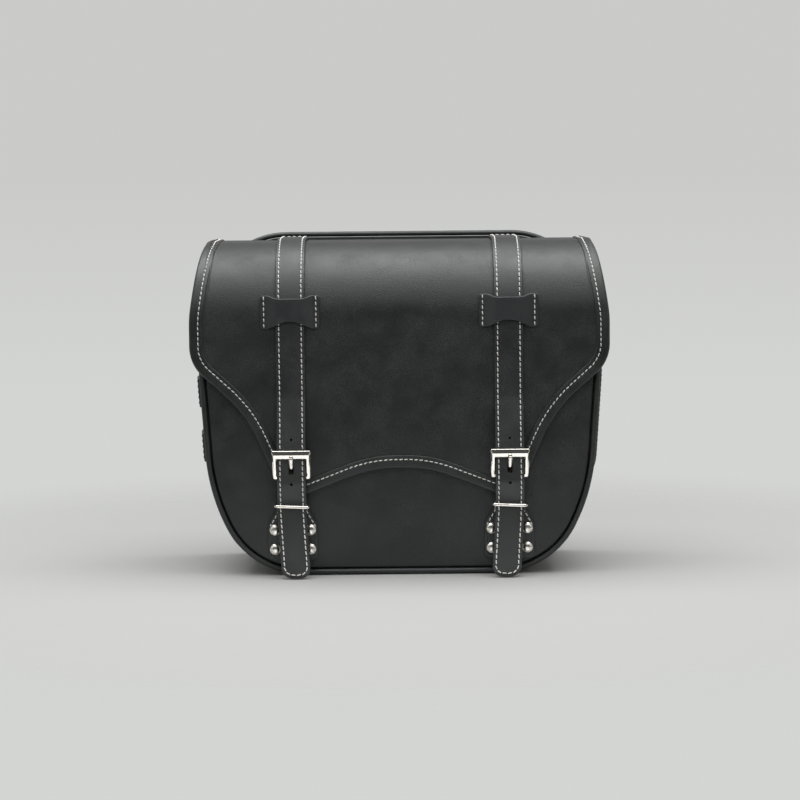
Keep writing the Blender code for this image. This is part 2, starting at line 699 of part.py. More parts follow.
def strap_loops():
    # A waisted leather loop over each strap, sewn to the lid at both ends.
    middle_z = BEND_Z + LOOP_RISE
    low = STRAP_IN_Y
    high = low - STRAP_LEATHER - 2 * GAP
    clear = STRAP_WIDTH / 2 + LOOP_CLEARANCE
    ramp = clear + LOOP_RAMP
    for side, name in ((-1, "strap_loop_left"), (1, "strap_loop_right")):
        x = side * STRAP_X
        span = STRAP_WIDTH
        line = rounded([
            (x - span, low, 0), (x - ramp, low, LOOP_BEND), (x - clear, high, LOOP_BEND),
            (x + clear, high, LOOP_BEND), (x + ramp, low, LOOP_BEND), (x + span, low, 0),
        ], closed=False)
        shape = former(line, across_z)
        end = shape["stations"][-1]
        tall, waist = LOOP_END_HEIGHT / 2, LOOP_WAIST_HEIGHT / 2
        outline = rounded([
            (middle_z - tall, 0, LOOP_BEND), (middle_z - waist, end / 2, LOOP_WAIST_RADIUS),
            (middle_z - tall, end, LOOP_BEND), (middle_z + tall, end, LOOP_BEND),
            (middle_z + waist, end / 2, LOOP_WAIST_RADIUS), (middle_z + tall, 0, LOOP_BEND),
        ])
        sheet(name, [outline], 0, LOOP_LEATHER, shape, STRAP_LEATHER_BLACK)


def chapes():
    # Each chape is folded round its heel bar and slotted for the tongue.
    back = CHAPE_BACK_Y - CHAPE_LEATHER
    front = BAR_Y - FOLD_RADIUS
    top = BAR_Z + FOLD_RADIUS
    closed_front = back - GAP
    bottom = STUD_Z - CHAPE_TAIL[0]
    leaves, opens = BAR_Z + CHAPE_OPENS[0], CHAPE_OPENS[1]
    fold = FOLD_RADIUS * 0.99
    line = rounded([
        (back, bottom, 0), (back, top, fold), (front, top, fold), (front, leaves, opens),
        (closed_front, BAR_Z - CHAPE_CLOSED, opens),
        (closed_front, KEEPER_Z - CHAPE_FRONT_END[0], 0),
    ], closed=False)
    shape = former(line, across_x)
    end = shape["stations"][-1]
    half = STRAP_WIDTH / 2 - CHAPE_NARROWER
    wider, length, past = CHAPE_SLOT
    for side, name in ((-1, "chape_left"), (1, "chape_right")):
        x = side * STRAP_X
        outline = rounded([(x - half, 0, CHAPE_TAIL[1]), (x + half, 0, CHAPE_TAIL[1]),
                           (x + half, end, CHAPE_FRONT_END[1]),
                           (x - half, end, CHAPE_FRONT_END[1])])
        slot = slot_outline(x, BAR_Z - bottom + past, TONGUE_WIDTH + wider, length)
        hole = circle(x, CHAPE_TAIL[0], STUD_SHANK + 2 * GAP, HOLE_SIDES)
        sheet(name, [outline, slot, hole], 0, CHAPE_LEATHER, shape, STRAP_LEATHER_BLACK)


def flat_metal(side, place):
    # A flat plate through the heel bar's middle.
    half = LID_TOP_Z
    return {"stations": [-half, half], "line": [Vector((0, -half)), Vector((0, half))],
            "normals": [Vector((side, 0)), Vector((side, 0))], "place": place}


def round_edges(obj, width):
    edges = obj.modifiers.new("edges", "BEVEL")
    edges.width = width * UNIT
    edges.segments = 2
    edges.limit_method = "ANGLE"
    edges.angle_limit = math.radians(EDGE_ANGLE)


def buckle_frames():
    inner = STRAP_WIDTH / 2 + FRAME_SIDE_CLEARANCE
    outer = inner + FRAME_LEG
    bar = BAR / 2
    shape = flat_metal(-1, across_x)
    top = FRAME_HEIGHT - bar
    under = top - FRAME_TOP_BAR
    outline = [Vector(p) for p in ((-outer, -bar), (outer, -bar), (outer, top), (-outer, top))]
    hole = [Vector(p) for p in ((-inner, bar), (inner, bar), (inner, under), (-inner, under))]
    for side, name in ((-1, "buckle_frame_left"), (1, "buckle_frame_right")):
        frame = sheet(name, [outline, hole], -bar, bar, shape, NICKEL)
        round_edges(frame, FRAME_EDGE)
        move(frame, side * STRAP_X, BAR_Y, BAR_Z)
        frame.rotation_euler.x = math.radians(FRAME_TILT)


def tongue_rise():
    # The tongue's angle from upright, so that it lies on the top bar of the tilted frame.
    reach = FRAME_HEIGHT - BAR / 2 - FRAME_TOP_BAR
    lift = BAR / 2 + GAP + TONGUE_THICKNESS / 2
    return math.radians(FRAME_TILT) + math.atan2(lift, reach)


def tongues():
    half = TONGUE_WIDTH / 2
    thick = TONGUE_THICKNESS / 2
    outer = FOLD_RADIUS + TONGUE_EYE_WALL
    start = math.asin(thick / outer)
    turn = 2 * math.pi - 2 * start
    eye = []
    for k in range(EYE_STEPS + 1):
        angle = start + turn * k / EYE_STEPS
        eye.append(Vector((outer * math.sin(angle), outer * math.cos(angle))))
    nose = TONGUE_LENGTH - TONGUE_NOSE
    blade = [Vector((-thick, nose)), Vector((-thick / 3, TONGUE_LENGTH)),
             Vector((thick / 2, TONGUE_LENGTH)), Vector((thick, nose + thick / 2))]
    loops = [eye + blade, circle(0, 0, 2 * FOLD_RADIUS)]
    shape = flat_metal(1, across_y)
    for side, name in ((-1, "buckle_tongue_left"), (1, "buckle_tongue_right")):
        tongue = sheet(name, loops, -half, half, shape, NICKEL)
        round_edges(tongue, TONGUE_EDGE)
        move(tongue, side * STRAP_X, BAR_Y, BAR_Z)
        tongue.rotation_euler.x = tongue_rise()


def keepers():
    # A wire ring round the strap and the chape, free to slide a little up and down.
    beside, ahead = KEEPER_CLEARANCE
    back = CHAPE_BACK_Y + GAP + KEEPER_WIRE / 2
    front = STRAP_KEEPER_Y - STRAP_LEATHER - ahead - KEEPER_WIRE / 2
    half = STRAP_WIDTH / 2 + beside + KEEPER_WIRE / 2
    for side, name in ((-1, "wire_keeper_left"), (1, "wire_keeper_right")):
        x = side * STRAP_X
        corners = ((x - half, back), (x + half, back), (x + half, front), (x - half, front))
        ring = rounded([(*corner, KEEPER_BEND) for corner in corners])
        points = [(p.x, p.y, 0) for p in ring]
        keeper = tube(name, points, KEEPER_WIRE, NICKEL, closed=True)
        move(keeper, 0, 0, KEEPER_Z)


# Buckle bases, rivets and studs on the front panel

def buckle_bases():
    neck, wide = STRAP_WIDTH / 2, (STRAP_WIDTH + BASE_WIDER) / 2
    half = [(a, BASE_BOTTOM_Z + share * BASE_HEIGHT)
            for a, share in ((neck, 1), (neck, BASE_NECK), (wide, BASE_SHOULDER), (wide, 0))]
    for side, name in ((-1, "buckle_base_left"), (1, "buckle_base_right")):
        x = side * STRAP_X
        right = [(x + a, b, radius) for (a, b), radius in zip(half, BASE_CORNERS)]
        left = [(2 * x - a, b, radius) for a, b, radius in reversed(right)]
        stud = circle(x, STUD_Z, STUD_SHANK + 2 * GAP, HOLE_SIDES)
        sheet(name, [rounded(right + left), stud] + rivet_holes(side), 0, BASE_LEATHER,
              flat_front(FRONT_Y - GAP), BLACK_LEATHER)


def dome(radius, height, start_y, steps=3):
    # Points of a dome that rises forwards from start_y to its pole.
    return [(radius * math.cos(k * math.pi / 2 / steps),
             start_y - height * math.sin(k * math.pi / 2 / steps)) for k in range(steps + 1)]


def rivets():
    face = FRONT_Y - GAP - BASE_LEATHER - GAP
    shank_end = FRONT_Y + PANEL_LEATHER + GAP + BOARD
    shank = RIVET_SHANK / 2
    head = RIVET_HEAD / 2
    rim = face - RIVET_RIM
    profile = [(0, shank_end), (shank, shank_end), (shank, face), (head, face), (head, rim)]
    profile += dome(head, RIVET_DOME - RIVET_RIM, rim)[1:]
    made = {-1: 0, 1: 0}
    for side, x, z in rivet_places():
        made[side] += 1
        name = "rivet_%s_%d" % ("left" if side < 0 else "right", made[side])
        move(turned(name, profile, NICKEL), x, 0, z)


def press_studs():
    # A stud on each riveted base snaps into a socket on the back of the chape.
    shank = STUD_SHANK / 2
    base = FRONT_Y - GAP - BASE_LEATHER - GAP
    flange, flange_front = STUD_FLANGE[0] / 2, base - STUD_FLANGE[1]
    chape_back = CHAPE_BACK_Y + GAP
    chape_front = CHAPE_BACK_Y - CHAPE_LEATHER - GAP
    socket_back = chape_back + SOCKET_DEPTH
    stud = [(0, FRONT_Y - GAP), (shank, FRONT_Y - GAP), (shank, base), (flange, base),
            (flange, flange_front), (STUD_NECK / 2, flange_front)]
    stud += dome(STUD_HEAD / 2, STUD_CROWN, socket_back - 1 + STUD_CROWN)
    bore, ring = SOCKET_BORE / 2, SOCKET / 2
    floor = chape_back + SOCKET_FLOOR
    socket = [(0, floor), (bore, floor), (bore, socket_back), (ring, socket_back),
              (ring, chape_back), (shank, chape_back), (shank, chape_front),
              (ring, chape_front)]
    socket += dome(ring, SOCKET_CROWN, chape_front)[1:]
    for side, label in ((-1, "left"), (1, "right")):
        x = side * STRAP_X
        move(turned("press_stud_" + label, stud, NICKEL), x, 0, STUD_Z)
        move(turned("stud_socket_" + label, socket, NICKEL), x, 0, STUD_Z)


# Back and sides

def mounting_panel():
    # A stiff panel with a rolled edge all round it.
    roll = MOUNT_ROLL + GAP
    top = LID_TOP_Z + MOUNT_ABOVE_LID - roll
    wide = MOUTH_HALF - MOUNT_TOP_IN - roll
    narrow = BASE_HALF - MOUNT_BOTTOM_IN - roll
    run, drop, radius = MOUNT_SHOULDER
    outline = rounded([(-narrow, MOUNT_BOTTOM_Z, MOUNT_RADIUS),
                       (narrow, MOUNT_BOTTOM_Z, MOUNT_RADIUS),
                       (wide, top - drop, MOUNT_RADIUS - roll), (wide - run, top, radius),
                       (run - wide, top, radius), (-wide, top - drop, MOUNT_RADIUS - roll)])
    back = BACK_Y + GAP + MOUNT_THICKNESS
    sheet("mounting_panel", [outline], 0, MOUNT_THICKNESS, flat_front(back), BLACK_LEATHER)
    y = back - MOUNT_THICKNESS / 2
    ring = outline[-1:] + outline + outline[:1]
    around = offset(ring, MOUNT_ROLL / 2 + GAP)[1:-1]
    tube("mounting_panel_roll", [(p.x, y, p.y) for p in around], MOUNT_ROLL, BLACK_LEATHER,
         closed=True)


def side_fittings():
    line = body_line(MOUTH_Z)
    shape = former(line, across_y)
    top = shape["stations"][-1] - MOUTH_Z  # the pattern's station of a height, less that height
    middle = SIDE_MIDDLE * BODY_DEPTH
    for height, name in zip(SIDE_LOOP_HEIGHTS, ("side_loop_upper", "side_loop_lower")):
        side_loop(name, height, middle, line)
    half = PATCH_WIDTH * BODY_DEPTH / 2
    low, high = top + PATCH_BOTTOM_Z, top + MOUTH_Z - PATCH_UNDER_MOUTH
    outline = rounded([(middle - half, low, PATCH_RADIUS), (middle + half, low, PATCH_RADIUS),
                       (middle + half, high, SIDE_CORNER), (middle - half, high, SIDE_CORNER)])
    sheet("side_patch", [outline], GAP, GAP + SIDE_LEATHER, shape, BLACK_LEATHER)


def body_face(line, z):
    # Where the left side of the gusset stands at height z.
    for high, low in zip(line, line[1:]):
        if low.y <= z <= high.y:
            return low.x + (high.x - low.x) * (z - low.y) / (high.y - low.y)
    return line[0].x


def side_loop(name, height, middle, line):
    # A strip that stands off the left side of the gusset, flat at both ends.
    back = -2 * GAP
    out = back - SIDE_LOOP_RISE
    reach = SIDE_LOOP_SPAN * BODY_DEPTH / 2
    flat = reach - SIDE_FLAT * BODY_DEPTH
    off = flat - SIDE_LOOP_RAMP
    path = rounded([(back, middle + reach, 0), (back, middle + flat, SIDE_CORNER),
                    (out, middle + off, SIDE_CORNER), (out, middle - off, SIDE_CORNER),
                    (back, middle - flat, SIDE_CORNER), (back, middle - reach, 0)],
                   closed=False)
    shape = former(path, lambda z, p: Vector((body_face(line, z) + p.x, p.y, z)))
    end = shape["stations"][-1]
    low, high = height - SIDE_LOOP_WIDTH / 2, height + SIDE_LOOP_WIDTH / 2
    corners = ((low, 0), (low, end), (high, end), (high, 0))
    outline = rounded([(*corner, SIDE_CORNER) for corner in corners])
    sheet(name, [outline], 0, SIDE_LEATHER, shape, STRAP_LEATHER_BLACK)


def build():
    clear_scene()
    gusset()
    front_panel()
    back_panel()
    piping()
    boards_and_lining()
    front_mouth_binding()
    mounting_panel()
    side_fittings()
    buckle_bases()
    rivets()
    press_studs()
    lid()
    straps()
    strap_loops()
    chapes()
    buckle_frames()
    tongues()
    keepers()


build()
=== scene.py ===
import bisect
from math import ceil, copysign, cos, degrees, exp, floor, pi, radians, sin, sqrt, tan

import bmesh
import bpy
import numpy as np
from mathutils import Matrix, Vector, noise


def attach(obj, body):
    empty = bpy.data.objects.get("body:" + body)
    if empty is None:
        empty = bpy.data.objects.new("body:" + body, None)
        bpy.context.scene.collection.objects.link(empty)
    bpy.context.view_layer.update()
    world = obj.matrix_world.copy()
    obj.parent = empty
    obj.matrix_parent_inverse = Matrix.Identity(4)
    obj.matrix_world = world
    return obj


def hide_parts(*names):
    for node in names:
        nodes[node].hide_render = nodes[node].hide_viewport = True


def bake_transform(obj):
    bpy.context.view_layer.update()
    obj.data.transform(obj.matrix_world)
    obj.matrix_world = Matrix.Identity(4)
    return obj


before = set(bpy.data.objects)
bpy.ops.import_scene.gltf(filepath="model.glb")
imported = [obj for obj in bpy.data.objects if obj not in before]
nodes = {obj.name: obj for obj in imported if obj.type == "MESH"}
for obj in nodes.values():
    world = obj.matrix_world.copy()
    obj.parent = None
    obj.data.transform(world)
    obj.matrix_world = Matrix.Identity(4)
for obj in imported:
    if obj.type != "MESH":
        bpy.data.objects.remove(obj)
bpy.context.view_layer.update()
mm = 0.001
print("frame loaded:", len(nodes), "nodes")

# camera, floor and light

view = {"from": (0.0, -2.17, 0.345), "at": (0.0, -0.07, 0.1532), "lens": 109.4, "roll": -0.55}
backdrop = {"high": (0.595, 0.600, 0.585), "low": (0.655, 0.665, 0.655),
            "floor": (0.488, 0.49, 0.482), "radius": 1.5}
lamps = (  # name, place, aim, size, watts
    ("overhead", (0.0, -0.05, 1.30), (0.0, 0.0, 0.2), (1.7, 0.9), 19.6),
    ("frontHigh", (0.0, -1.15, 1.15), (0.0, 0.0, 0.2), (1.8, 0.9), 6.8),
    ("leftFill", (-1.5, -1.3, 0.9), (0.0, 0.0, 0.15), (1.0, 1.2), 2.5),
    ("rightFill", (1.5, -1.3, 0.9), (0.0, 0.0, 0.15), (1.0, 1.2), 2.5),
    ("leftCard", (-0.095, -0.157, 0.003), (-0.095, -0.155, 1.0), (0.06, 0.13), 0.0165),
    ("rightCard", (0.095, -0.157, 0.003), (0.095, -0.155, 1.0), (0.06, 0.13), 0.0165),
)


def shown(name, data):
    obj = bpy.data.objects.new(name, data)
    bpy.context.scene.collection.objects.link(obj)
    return obj


def aimed(obj, place, target):
    obj.location = place
    obj.rotation_euler = (Vector(target) - Vector(place)).to_track_quat("-Z", "Y").to_euler()


camera = shown("camera", bpy.data.cameras.new("camera"))
camera.data.lens, camera.data.sensor_width = view["lens"], 36.0
aimed(camera, view["from"], view["at"])
camera.rotation_euler.rotate_axis("Z", radians(view["roll"]))
bpy.context.scene.camera = camera
bpy.context.scene.view_settings.view_transform = "Standard"

for lampName, place, target, size, watts in lamps:
    lamp = bpy.data.lights.new(lampName, "AREA")
    lamp.shape, lamp.size, lamp.size_y, lamp.energy = "RECTANGLE", *size, watts
    held = shown(lampName, lamp)
    held.visible_camera = False
    aimed(held, place, target)


class Graph:  # a node tree, with short ways to add to it; a node stands for its first output
    def __init__(self, tree):
        self.tree = tree

    def fill(self, node, inputs):
        for key, value in inputs.items():
            value = value.outputs[0] if isinstance(value, bpy.types.Node) else value
            if isinstance(value, bpy.types.NodeSocket):
                self.tree.links.new(value, node.inputs[key])
            else:
                node.inputs[key].default_value = value

    def add(self, kind, inputs=None, **settings):
        node = self.tree.nodes.new(kind if "Node" in kind else "ShaderNode" + kind)
        for key, value in settings.items():
            setattr(node, key, value)
        self.fill(node, inputs or {})
        return node

    def maths(self, operation, a, b=0.0, c=0.0, clamp=False):
        return self.add("Math", {0: a, 1: b, 2: c}, operation=operation, use_clamp=clamp)

    def mapped(self, value, fromLow, fromHigh, toLow=0.0, toHigh=1.0, kind="SMOOTHSTEP"):
        return self.add("MapRange", {0: value, 1: fromLow, 2: fromHigh, 3: toLow, 4: toHigh},
                        interpolation_type=kind)

    def mixed(self, share, a, b):
        return self.add("Mix", {0: share, 6: a, 7: b}, data_type="RGBA").outputs[2]

    def place(self):
        return self.add("TexCoord").outputs["Object"]

    def noise(self, place, scale, detail, **more):
        return self.add("TexNoise", {"Vector": place, "Scale": scale, "Detail": detail, **more})


class Look(Graph):  # a material being made round its Principled shader
    def __init__(self, name):
        self.material = bpy.data.materials.new(name)
        self.material.use_nodes = True
        super().__init__(self.material.node_tree)

    def finish(self, inputs, height=None, strength=1.0, distance=0.0):
        if height is not None:
            inputs["Normal"] = self.add("Bump", {"Strength": strength, "Distance": distance,
                                                 "Height": height})
        self.fill(self.tree.nodes["Principled BSDF"], inputs)
        return self.material


def newGroup(name, kind, inputs, outputs):
    # inputs are (label, kind of socket, value) and outputs are (label, kind of socket)
    graph = Graph(bpy.data.node_groups.new(name, kind + "NodeTree"))
    for label, socket, *value in inputs:
        made = graph.tree.interface.new_socket(label, in_out="INPUT",
                                               socket_type="NodeSocket" + socket)
        if value:
            made.default_value = value[0]
    for label, socket in outputs:
        graph.tree.interface.new_socket(label, in_out="OUTPUT",
                                        socket_type="NodeSocket" + socket)
    graph.into = graph.add("NodeGroupInput").outputs
    return graph


def studioWorld():
    world = bpy.data.worlds.new("studio")
    bpy.context.scene.world = world
    world.use_nodes = True
    world.node_tree.nodes.clear()
    sky = Graph(world.node_tree)
    split = sky.add("SeparateXYZ", {0: sky.add("TexCoord").outputs["Generated"]}).outputs
    # the room behind the camera is dim, so metal and gloss show dark bands
    room = sky.mixed(sky.mapped(split[1], -0.95, 0.2), (0.07, 0.07, 0.07, 1),
                     (0.44, 0.44, 0.43, 1))
    path = sky.add("LightPath").outputs
    seen = sky.maths("MAXIMUM", path["Is Camera Ray"], path["Is Transmission Ray"])
    wall = sky.mixed(sky.mapped(split[2], 0.0, -0.09, kind="LINEAR"),
                     (*backdrop["high"], 1), (*backdrop["low"], 1))
    dim, pale = (sky.add("Background", {0: colour, 1: 1.0}) for colour in (room, wall))
    sky.add("OutputWorld", {0: sky.add("MixShader", {0: seen, 1: dim, 2: pale})})


def paleFloor():
    radius = backdrop["radius"]
    bm = bmesh.new()
    bmesh.ops.create_circle(bm, cap_ends=True, segments=96, radius=radius)
    mesh = bpy.data.meshes.new("floor")
    bm.to_mesh(mesh)
    bm.free()
    paper = shown("floor", mesh)
    paper.location.z = -0.0004
    look = Look("floorPaper")
    distance = look.add("VectorMath", {0: look.place()}, operation="LENGTH").outputs[1]
    mesh.materials.append(look.finish({
        "Base Color": (*backdrop["floor"], 1), "Roughness": 0.9, "Specular IOR Level": 0.1,
        "Alpha": look.mapped(distance, 0.17 * radius, 0.5 * radius, 1.0, 0.0)}))


studioWorld()
paleFloor()
print("camera, floor and light ready")

# lines, and the bent formers that flat leather follows


def drift(*place):
    return noise.noise(Vector(place))


def fade(value, low, high):
    t = min(max((value - low) / (high - low), 0.0), 1.0)
    return t * t * (3 - 2 * t)


def roundLine(corners, closed=False, step=3.0):
    # corners are (a, b, radius), and the line turns each on its radius
    line, last = [], len(corners) - 1
    for i, (a, b, radius) in enumerate(corners):
        here = Vector((a, b))
        if radius == 0 or (not closed and i in (0, last)):
            line.append(here)
            continue
        back = (Vector(corners[i - 1][:2]) - here).normalized()
        ahead = (Vector(corners[(i + 1) % len(corners)][:2]) - here).normalized()
        half = back.angle(ahead) / 2
        turn = pi - 2 * half
        centre = here + (back + ahead).normalized() * (radius / sin(half))
        start = here + back * (radius / tan(half)) - centre
        side = copysign(1, ahead.x * back.y - ahead.y * back.x)
        steps = max(2, ceil(degrees(turn) / step))
        for k in range(steps + 1):
            line.append(centre + Matrix.Rotation(side * turn * k / steps, 2) @ start)
    return line


def roundBox(lowA, highA, lowB, highB, lowRadius, highRadius, step=8):
    return roundLine([(lowA, lowB, lowRadius), (highA, lowB, lowRadius),
                      (highA, highB, highRadius), (lowA, highB, highRadius)], True, step)


def radiusFor(run, before, corner, after):
    back, ahead = Vector(before) - Vector(corner), Vector(after) - Vector(corner)
    return run * tan(back.angle(ahead) / 2)


def rightNormals(line, closed=False):
    points = line[-1:] + line + line[:1] if closed else line
    sides = []
    for a, b in zip(points, points[1:]):
        run = (b - a).normalized()
        sides.append(Vector((run.y, -run.x)))
    mitred = [(a + b) / max(1 + a.dot(b), 0.3) for a, b in zip(sides, sides[1:])]
    return mitred if closed else [sides[0]] + mitred + [sides[-1]]


def offset(line, distance, closed=False):
    return [p + n * distance for p, n in zip(line, rightNormals(line, closed))]


def inset(outline, distance):
    # a closed outline drawn in by the distance, whichever way it runs
    area = sum(a.x * b.y - b.x * a.y for a, b in zip(outline, outline[1:] + outline[:1]))
    return offset(outline, -distance if area > 0 else distance, True)


def dense(line, step, closed=False):
    out = [line[0]]
    for a, b in zip(line, line[1:] + line[:1] if closed else line[1:]):
        parts = max(1, ceil((b - a).length / step))
        out += [a + (b - a) * (k / parts) for k in range(1, parts + 1)]
    return out[:-1] if closed else out


def mirrored(half, middle=0.0):
    # half a row of corners, shifted to the middle, and its mirror image after it
    return ([(middle + a, b, radius) for a, b, radius in half]
            + [(middle - a, b, radius) for a, b, radius in reversed(half)])


def around(count):
    return [2 * pi * k / count for k in range(count)]


def acrossX(across, p):
    return Vector((across, p.x, p.y))


def acrossY(across, p):
    return Vector((p.x, across, p.y))


def acrossZ(across, p):
    return Vector((p.x, p.y, across))


class Former:  # turns flat (across, along, height) into a place on a bent line
    def __init__(self, line, place, relief=None):
        self.line, self.place, self.relief = line, place, relief
        self.stations = [0.0]
        for a, b in zip(line, line[1:]):
            self.stations.append(self.stations[-1] + (b - a).length)
        self.normals = rightNormals(line)
        self.end = self.stations[-1]

    def at(self, across, along, height=0.0):
        if self.relief:
            height += self.relief(across, along)
        i = min(max(bisect.bisect_right(self.stations, along) - 1, 0), len(self.line) - 2)
        share = (along - self.stations[i]) / (self.stations[i + 1] - self.stations[i])
        start = self.line[i] + self.normals[i] * height
        end = self.line[i + 1] + self.normals[i + 1] * height
        return self.place(across, start + (end - start) * share)

    def facing(self, across, along, under=False):
        out = (self.at(across, along, 1.0) - self.at(across, along, 0.0)).normalized()
        return -out if under else out


def standing(faceY, forwards=True, relief=None):
    # upright leather: across is X, along is Z, and it thickens forwards or backwards
    shape = Former([Vector((faceY, -50)), Vector((faceY, 600))], acrossX, relief)
    shape.stations = [-50.0, 600.0]
    shape.normals = [Vector((-1 if forwards else 1, 0))] * 2
    return shape


# mesh makers; cut and swept pieces carry rim (millimetres in from a cut edge) and rubbed-edge wear
# with a painted fold highlight


def rideOn(obj, body, slot, *stoodFor):
    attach(obj, body)
    if stoodFor:
        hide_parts(*stoodFor)


def newPiece(name, bm, look, sharp=50):
    bmesh.ops.remove_doubles(bm, verts=bm.verts[:], dist=1e-3)
    bmesh.ops.scale(bm, vec=(mm,) * 3, verts=bm.verts[:])
    bmesh.ops.recalc_face_normals(bm, faces=bm.faces[:])
    mesh = bpy.data.meshes.new(name)
    bm.to_mesh(mesh)
    bm.free()
    mesh.materials.append(look)
    mesh.shade_smooth()
    mesh.set_sharp_from_angle(angle=radians(sharp))
    return shown(name, mesh)


def layersOf(bm):
    return [bm.verts.layers.float.new(label) for label in ("rim", "wearAndSheen")]


def joinRings(bm, a, b):
    # faces between two equal closed loops of vertices
    for k in range(len(a)):
        n = (k + 1) % len(a)
        corners = list(dict.fromkeys((a[k], a[n], b[n], b[k])))
        if len(corners) > 2:
            bm.faces.new(corners)


def sweep(name, rings, look, closed=False, sharp=50, rim=None, wearAndSheen=None):
    # rings are equal closed loops of places along a run, and an open run gets its ends capped
    bm = bmesh.new()
    rimLayer, wearAndSheenLayer = layersOf(bm)
    made = []
    for ring in rings:
        made.append([bm.verts.new(p) for p in ring])
        for k, vert in enumerate(made[-1]):
            vert[rimLayer] = rim[k] if rim else 20.0
            vert[wearAndSheenLayer] = wearAndSheen[k] if wearAndSheen else 0.0
    for a, b in zip(made, made[1:] + made[:1] if closed else made[1:]):
        joinRings(bm, a, b)
    if not closed:
        bm.faces.new(made[0])
        bm.faces.new(made[-1])
    return newPiece(name, bm, look, sharp)


def loopDistance(points, loop):
    # how far each flat point is from the loop
    p = np.array([(v[0], v[1]) for v in points])
    a = np.array([(v[0], v[1]) for v in loop])
    d = np.roll(a, -1, axis=0) - a
    length = np.maximum((d * d).sum(1), 1e-12)
    best = np.full(len(p), 1e9)
    for k in range(len(a)):
        t = np.clip(((p - a[k]) @ d[k]) / length[k], 0, 1)
        best = np.minimum(best, np.hypot(*(p - a[k] - t[:, None] * d[k]).T))
    return best


def rounded(gap, radius):
    # how far a rounded edge lies below its face, by the gap to the cut
    return radius - sqrt(max(radius * radius - (radius - min(gap, radius)) ** 2, 0))


def cutLeather(name, outline, shape, look, low, thick, grid=4.0, edge=0.9, under=0.4,
               holes=(), crown=None, cuts=()):
    # leather cut flat to its outline, its edges rounded, then bent round its former
    bm = bmesh.new()
    rimLayer, wearAndSheenLayer = layersOf(bm)
    steps = [edge * (1 - cos(radians(k))) for k in (0, 30, 60, 90)]
    loops = [[bm.verts.new((p.x, p.y, 0)) for p in inset(outline, d)] for d in steps]
    for a, b in zip(loops, loops[1:]):
        joinRings(bm, a, b)
    bm.faces.new(loops[-1])
    lows, highs = ([pick(p[i] for p in outline) for i in (0, 1)] for pick in (min, max))
    lines = [((u, 0, 0), (1, 0, 0)) for u in np.arange(lows[0] + grid / 2, highs[0], grid)]
    rows = list(np.arange(lows[1] + grid / 2, highs[1], grid))
    rows += [v for v in cuts if lows[1] < v < highs[1]]
    for co, no in lines + [((0, v, 0), (0, 1, 0)) for v in rows]:
        bmesh.ops.bisect_plane(bm, geom=bm.verts[:] + bm.edges[:] + bm.faces[:],
                               plane_co=co, plane_no=no, dist=1e-3)
    bmesh.ops.recalc_face_normals(bm, faces=bm.faces[:])
    if sum(f.normal.z for f in bm.faces) < 0:
        bmesh.ops.reverse_faces(bm, faces=bm.faces[:])
    top = bm.verts[:]
    gaps = loopDistance([v.co for v in top], outline)
    borders = []
    for e in bm.edges:
        if len(e.link_faces) == 1:
            order = [loop.vert for loop in e.link_faces[0].loops]
            a, b = e.verts
            follows = order[(order.index(a) + 1) % len(order)] == b
            borders.append((a, b) if follows else (b, a))
    twin = {v: bm.verts.new(v.co) for v in top}
    for face in bm.faces[:]:
        bm.faces.new([twin[v] for v in reversed(face.verts)])
    for a, b in borders:
        bm.faces.new((b, a, twin[a], twin[b]))
    for v, d in zip(top, gaps):
        swell = crown(v.co.x, v.co.y, d) if crown else 0.0
        v[rimLayer] = twin[v][rimLayer] = d
        v[wearAndSheenLayer] = exp(-(d / 1.1) ** 2)
        twin[v].co.z = low + rounded(d, under)
        v.co.z = low + thick - rounded(d, edge) + swell
    if holes:
        bm = punched(bm, holes, low, thick)
    for v in bm.verts:
        v.co = shape.at(*v.co)
    return newPiece(name, bm, look)


def plainMesh(obj):
    return bpy.data.meshes.new_from_object(
        obj.evaluated_get(bpy.context.evaluated_depsgraph_get()))


def punched(bm, holes, low, thick):
    # the flat leather with each hole cut right through it; a hole is its loop on the outer
    # face and how far it runs on by the underside
    beyond = 2
    bmesh.ops.recalc_face_normals(bm, faces=bm.faces[:])
    tool = bmesh.new()
    for loop, lean in holes:
        reach = lean * (thick + beyond) / thick
        face = tool.faces.new([tool.verts.new((p.x, p.y + reach, low - beyond)) for p in loop])
        grown = bmesh.ops.extrude_face_region(tool, geom=[face])["geom"]
        tall = thick + 2 * beyond
        bmesh.ops.translate(tool, vec=(0, -lean * tall / thick, tall),
                            verts=[g for g in grown if isinstance(g, bmesh.types.BMVert)])
    bmesh.ops.recalc_face_normals(tool, faces=tool.faces[:])
    both = []
    for source in (bm, tool):
        mesh = bpy.data.meshes.new("flat")
        source.to_mesh(mesh)
        source.free()
        both.append(shown("flat", mesh))
    change = both[0].modifiers.new("punch", "BOOLEAN")
    change.operation, change.object, change.solver = "DIFFERENCE", both[1], "EXACT"
    done = plainMesh(both[0])
    cut = bmesh.new()
    cut.from_mesh(done)
    for used in both:
        bpy.data.objects.remove(used)
    bpy.data.meshes.remove(done)
    return cut


def planarTube(name, line, place, across, radius, look, closed=False, count=14, wander=0.0):
    # a round roll along a flat line; an open one gets rounded ends
    normals = rightNormals(line, closed)
    origin = place(0.0, Vector((0, 0)))
    axis = place(1.0, Vector((0, 0))) - origin

    def ring(p, n, size, shift=Vector((0, 0, 0))):
        middle = place(across, p) + shift
        side = (place(0.0, n) - origin).normalized()
        return [middle + (side * cos(a) + axis * sin(a)) * size for a in around(count)]

    rings = [ring(p, n, radius * (1 + wander * drift(p.x / 14, p.y / 14, across)))
             for p, n in zip(line, normals)]
    if not closed:
        for end, beyond in ((0, line[0] - line[1]), (-1, line[-1] - line[-2])):
            out = (place(0.0, beyond) - origin).normalized()
            caps = [ring(line[end], normals[end], radius * cos(radians(a)),
                         out * radius * sin(radians(a))) for a in (30, 60, 86)]
            rings = rings + caps if end else caps[::-1] + rings
    return sweep(name, rings, look, closed)


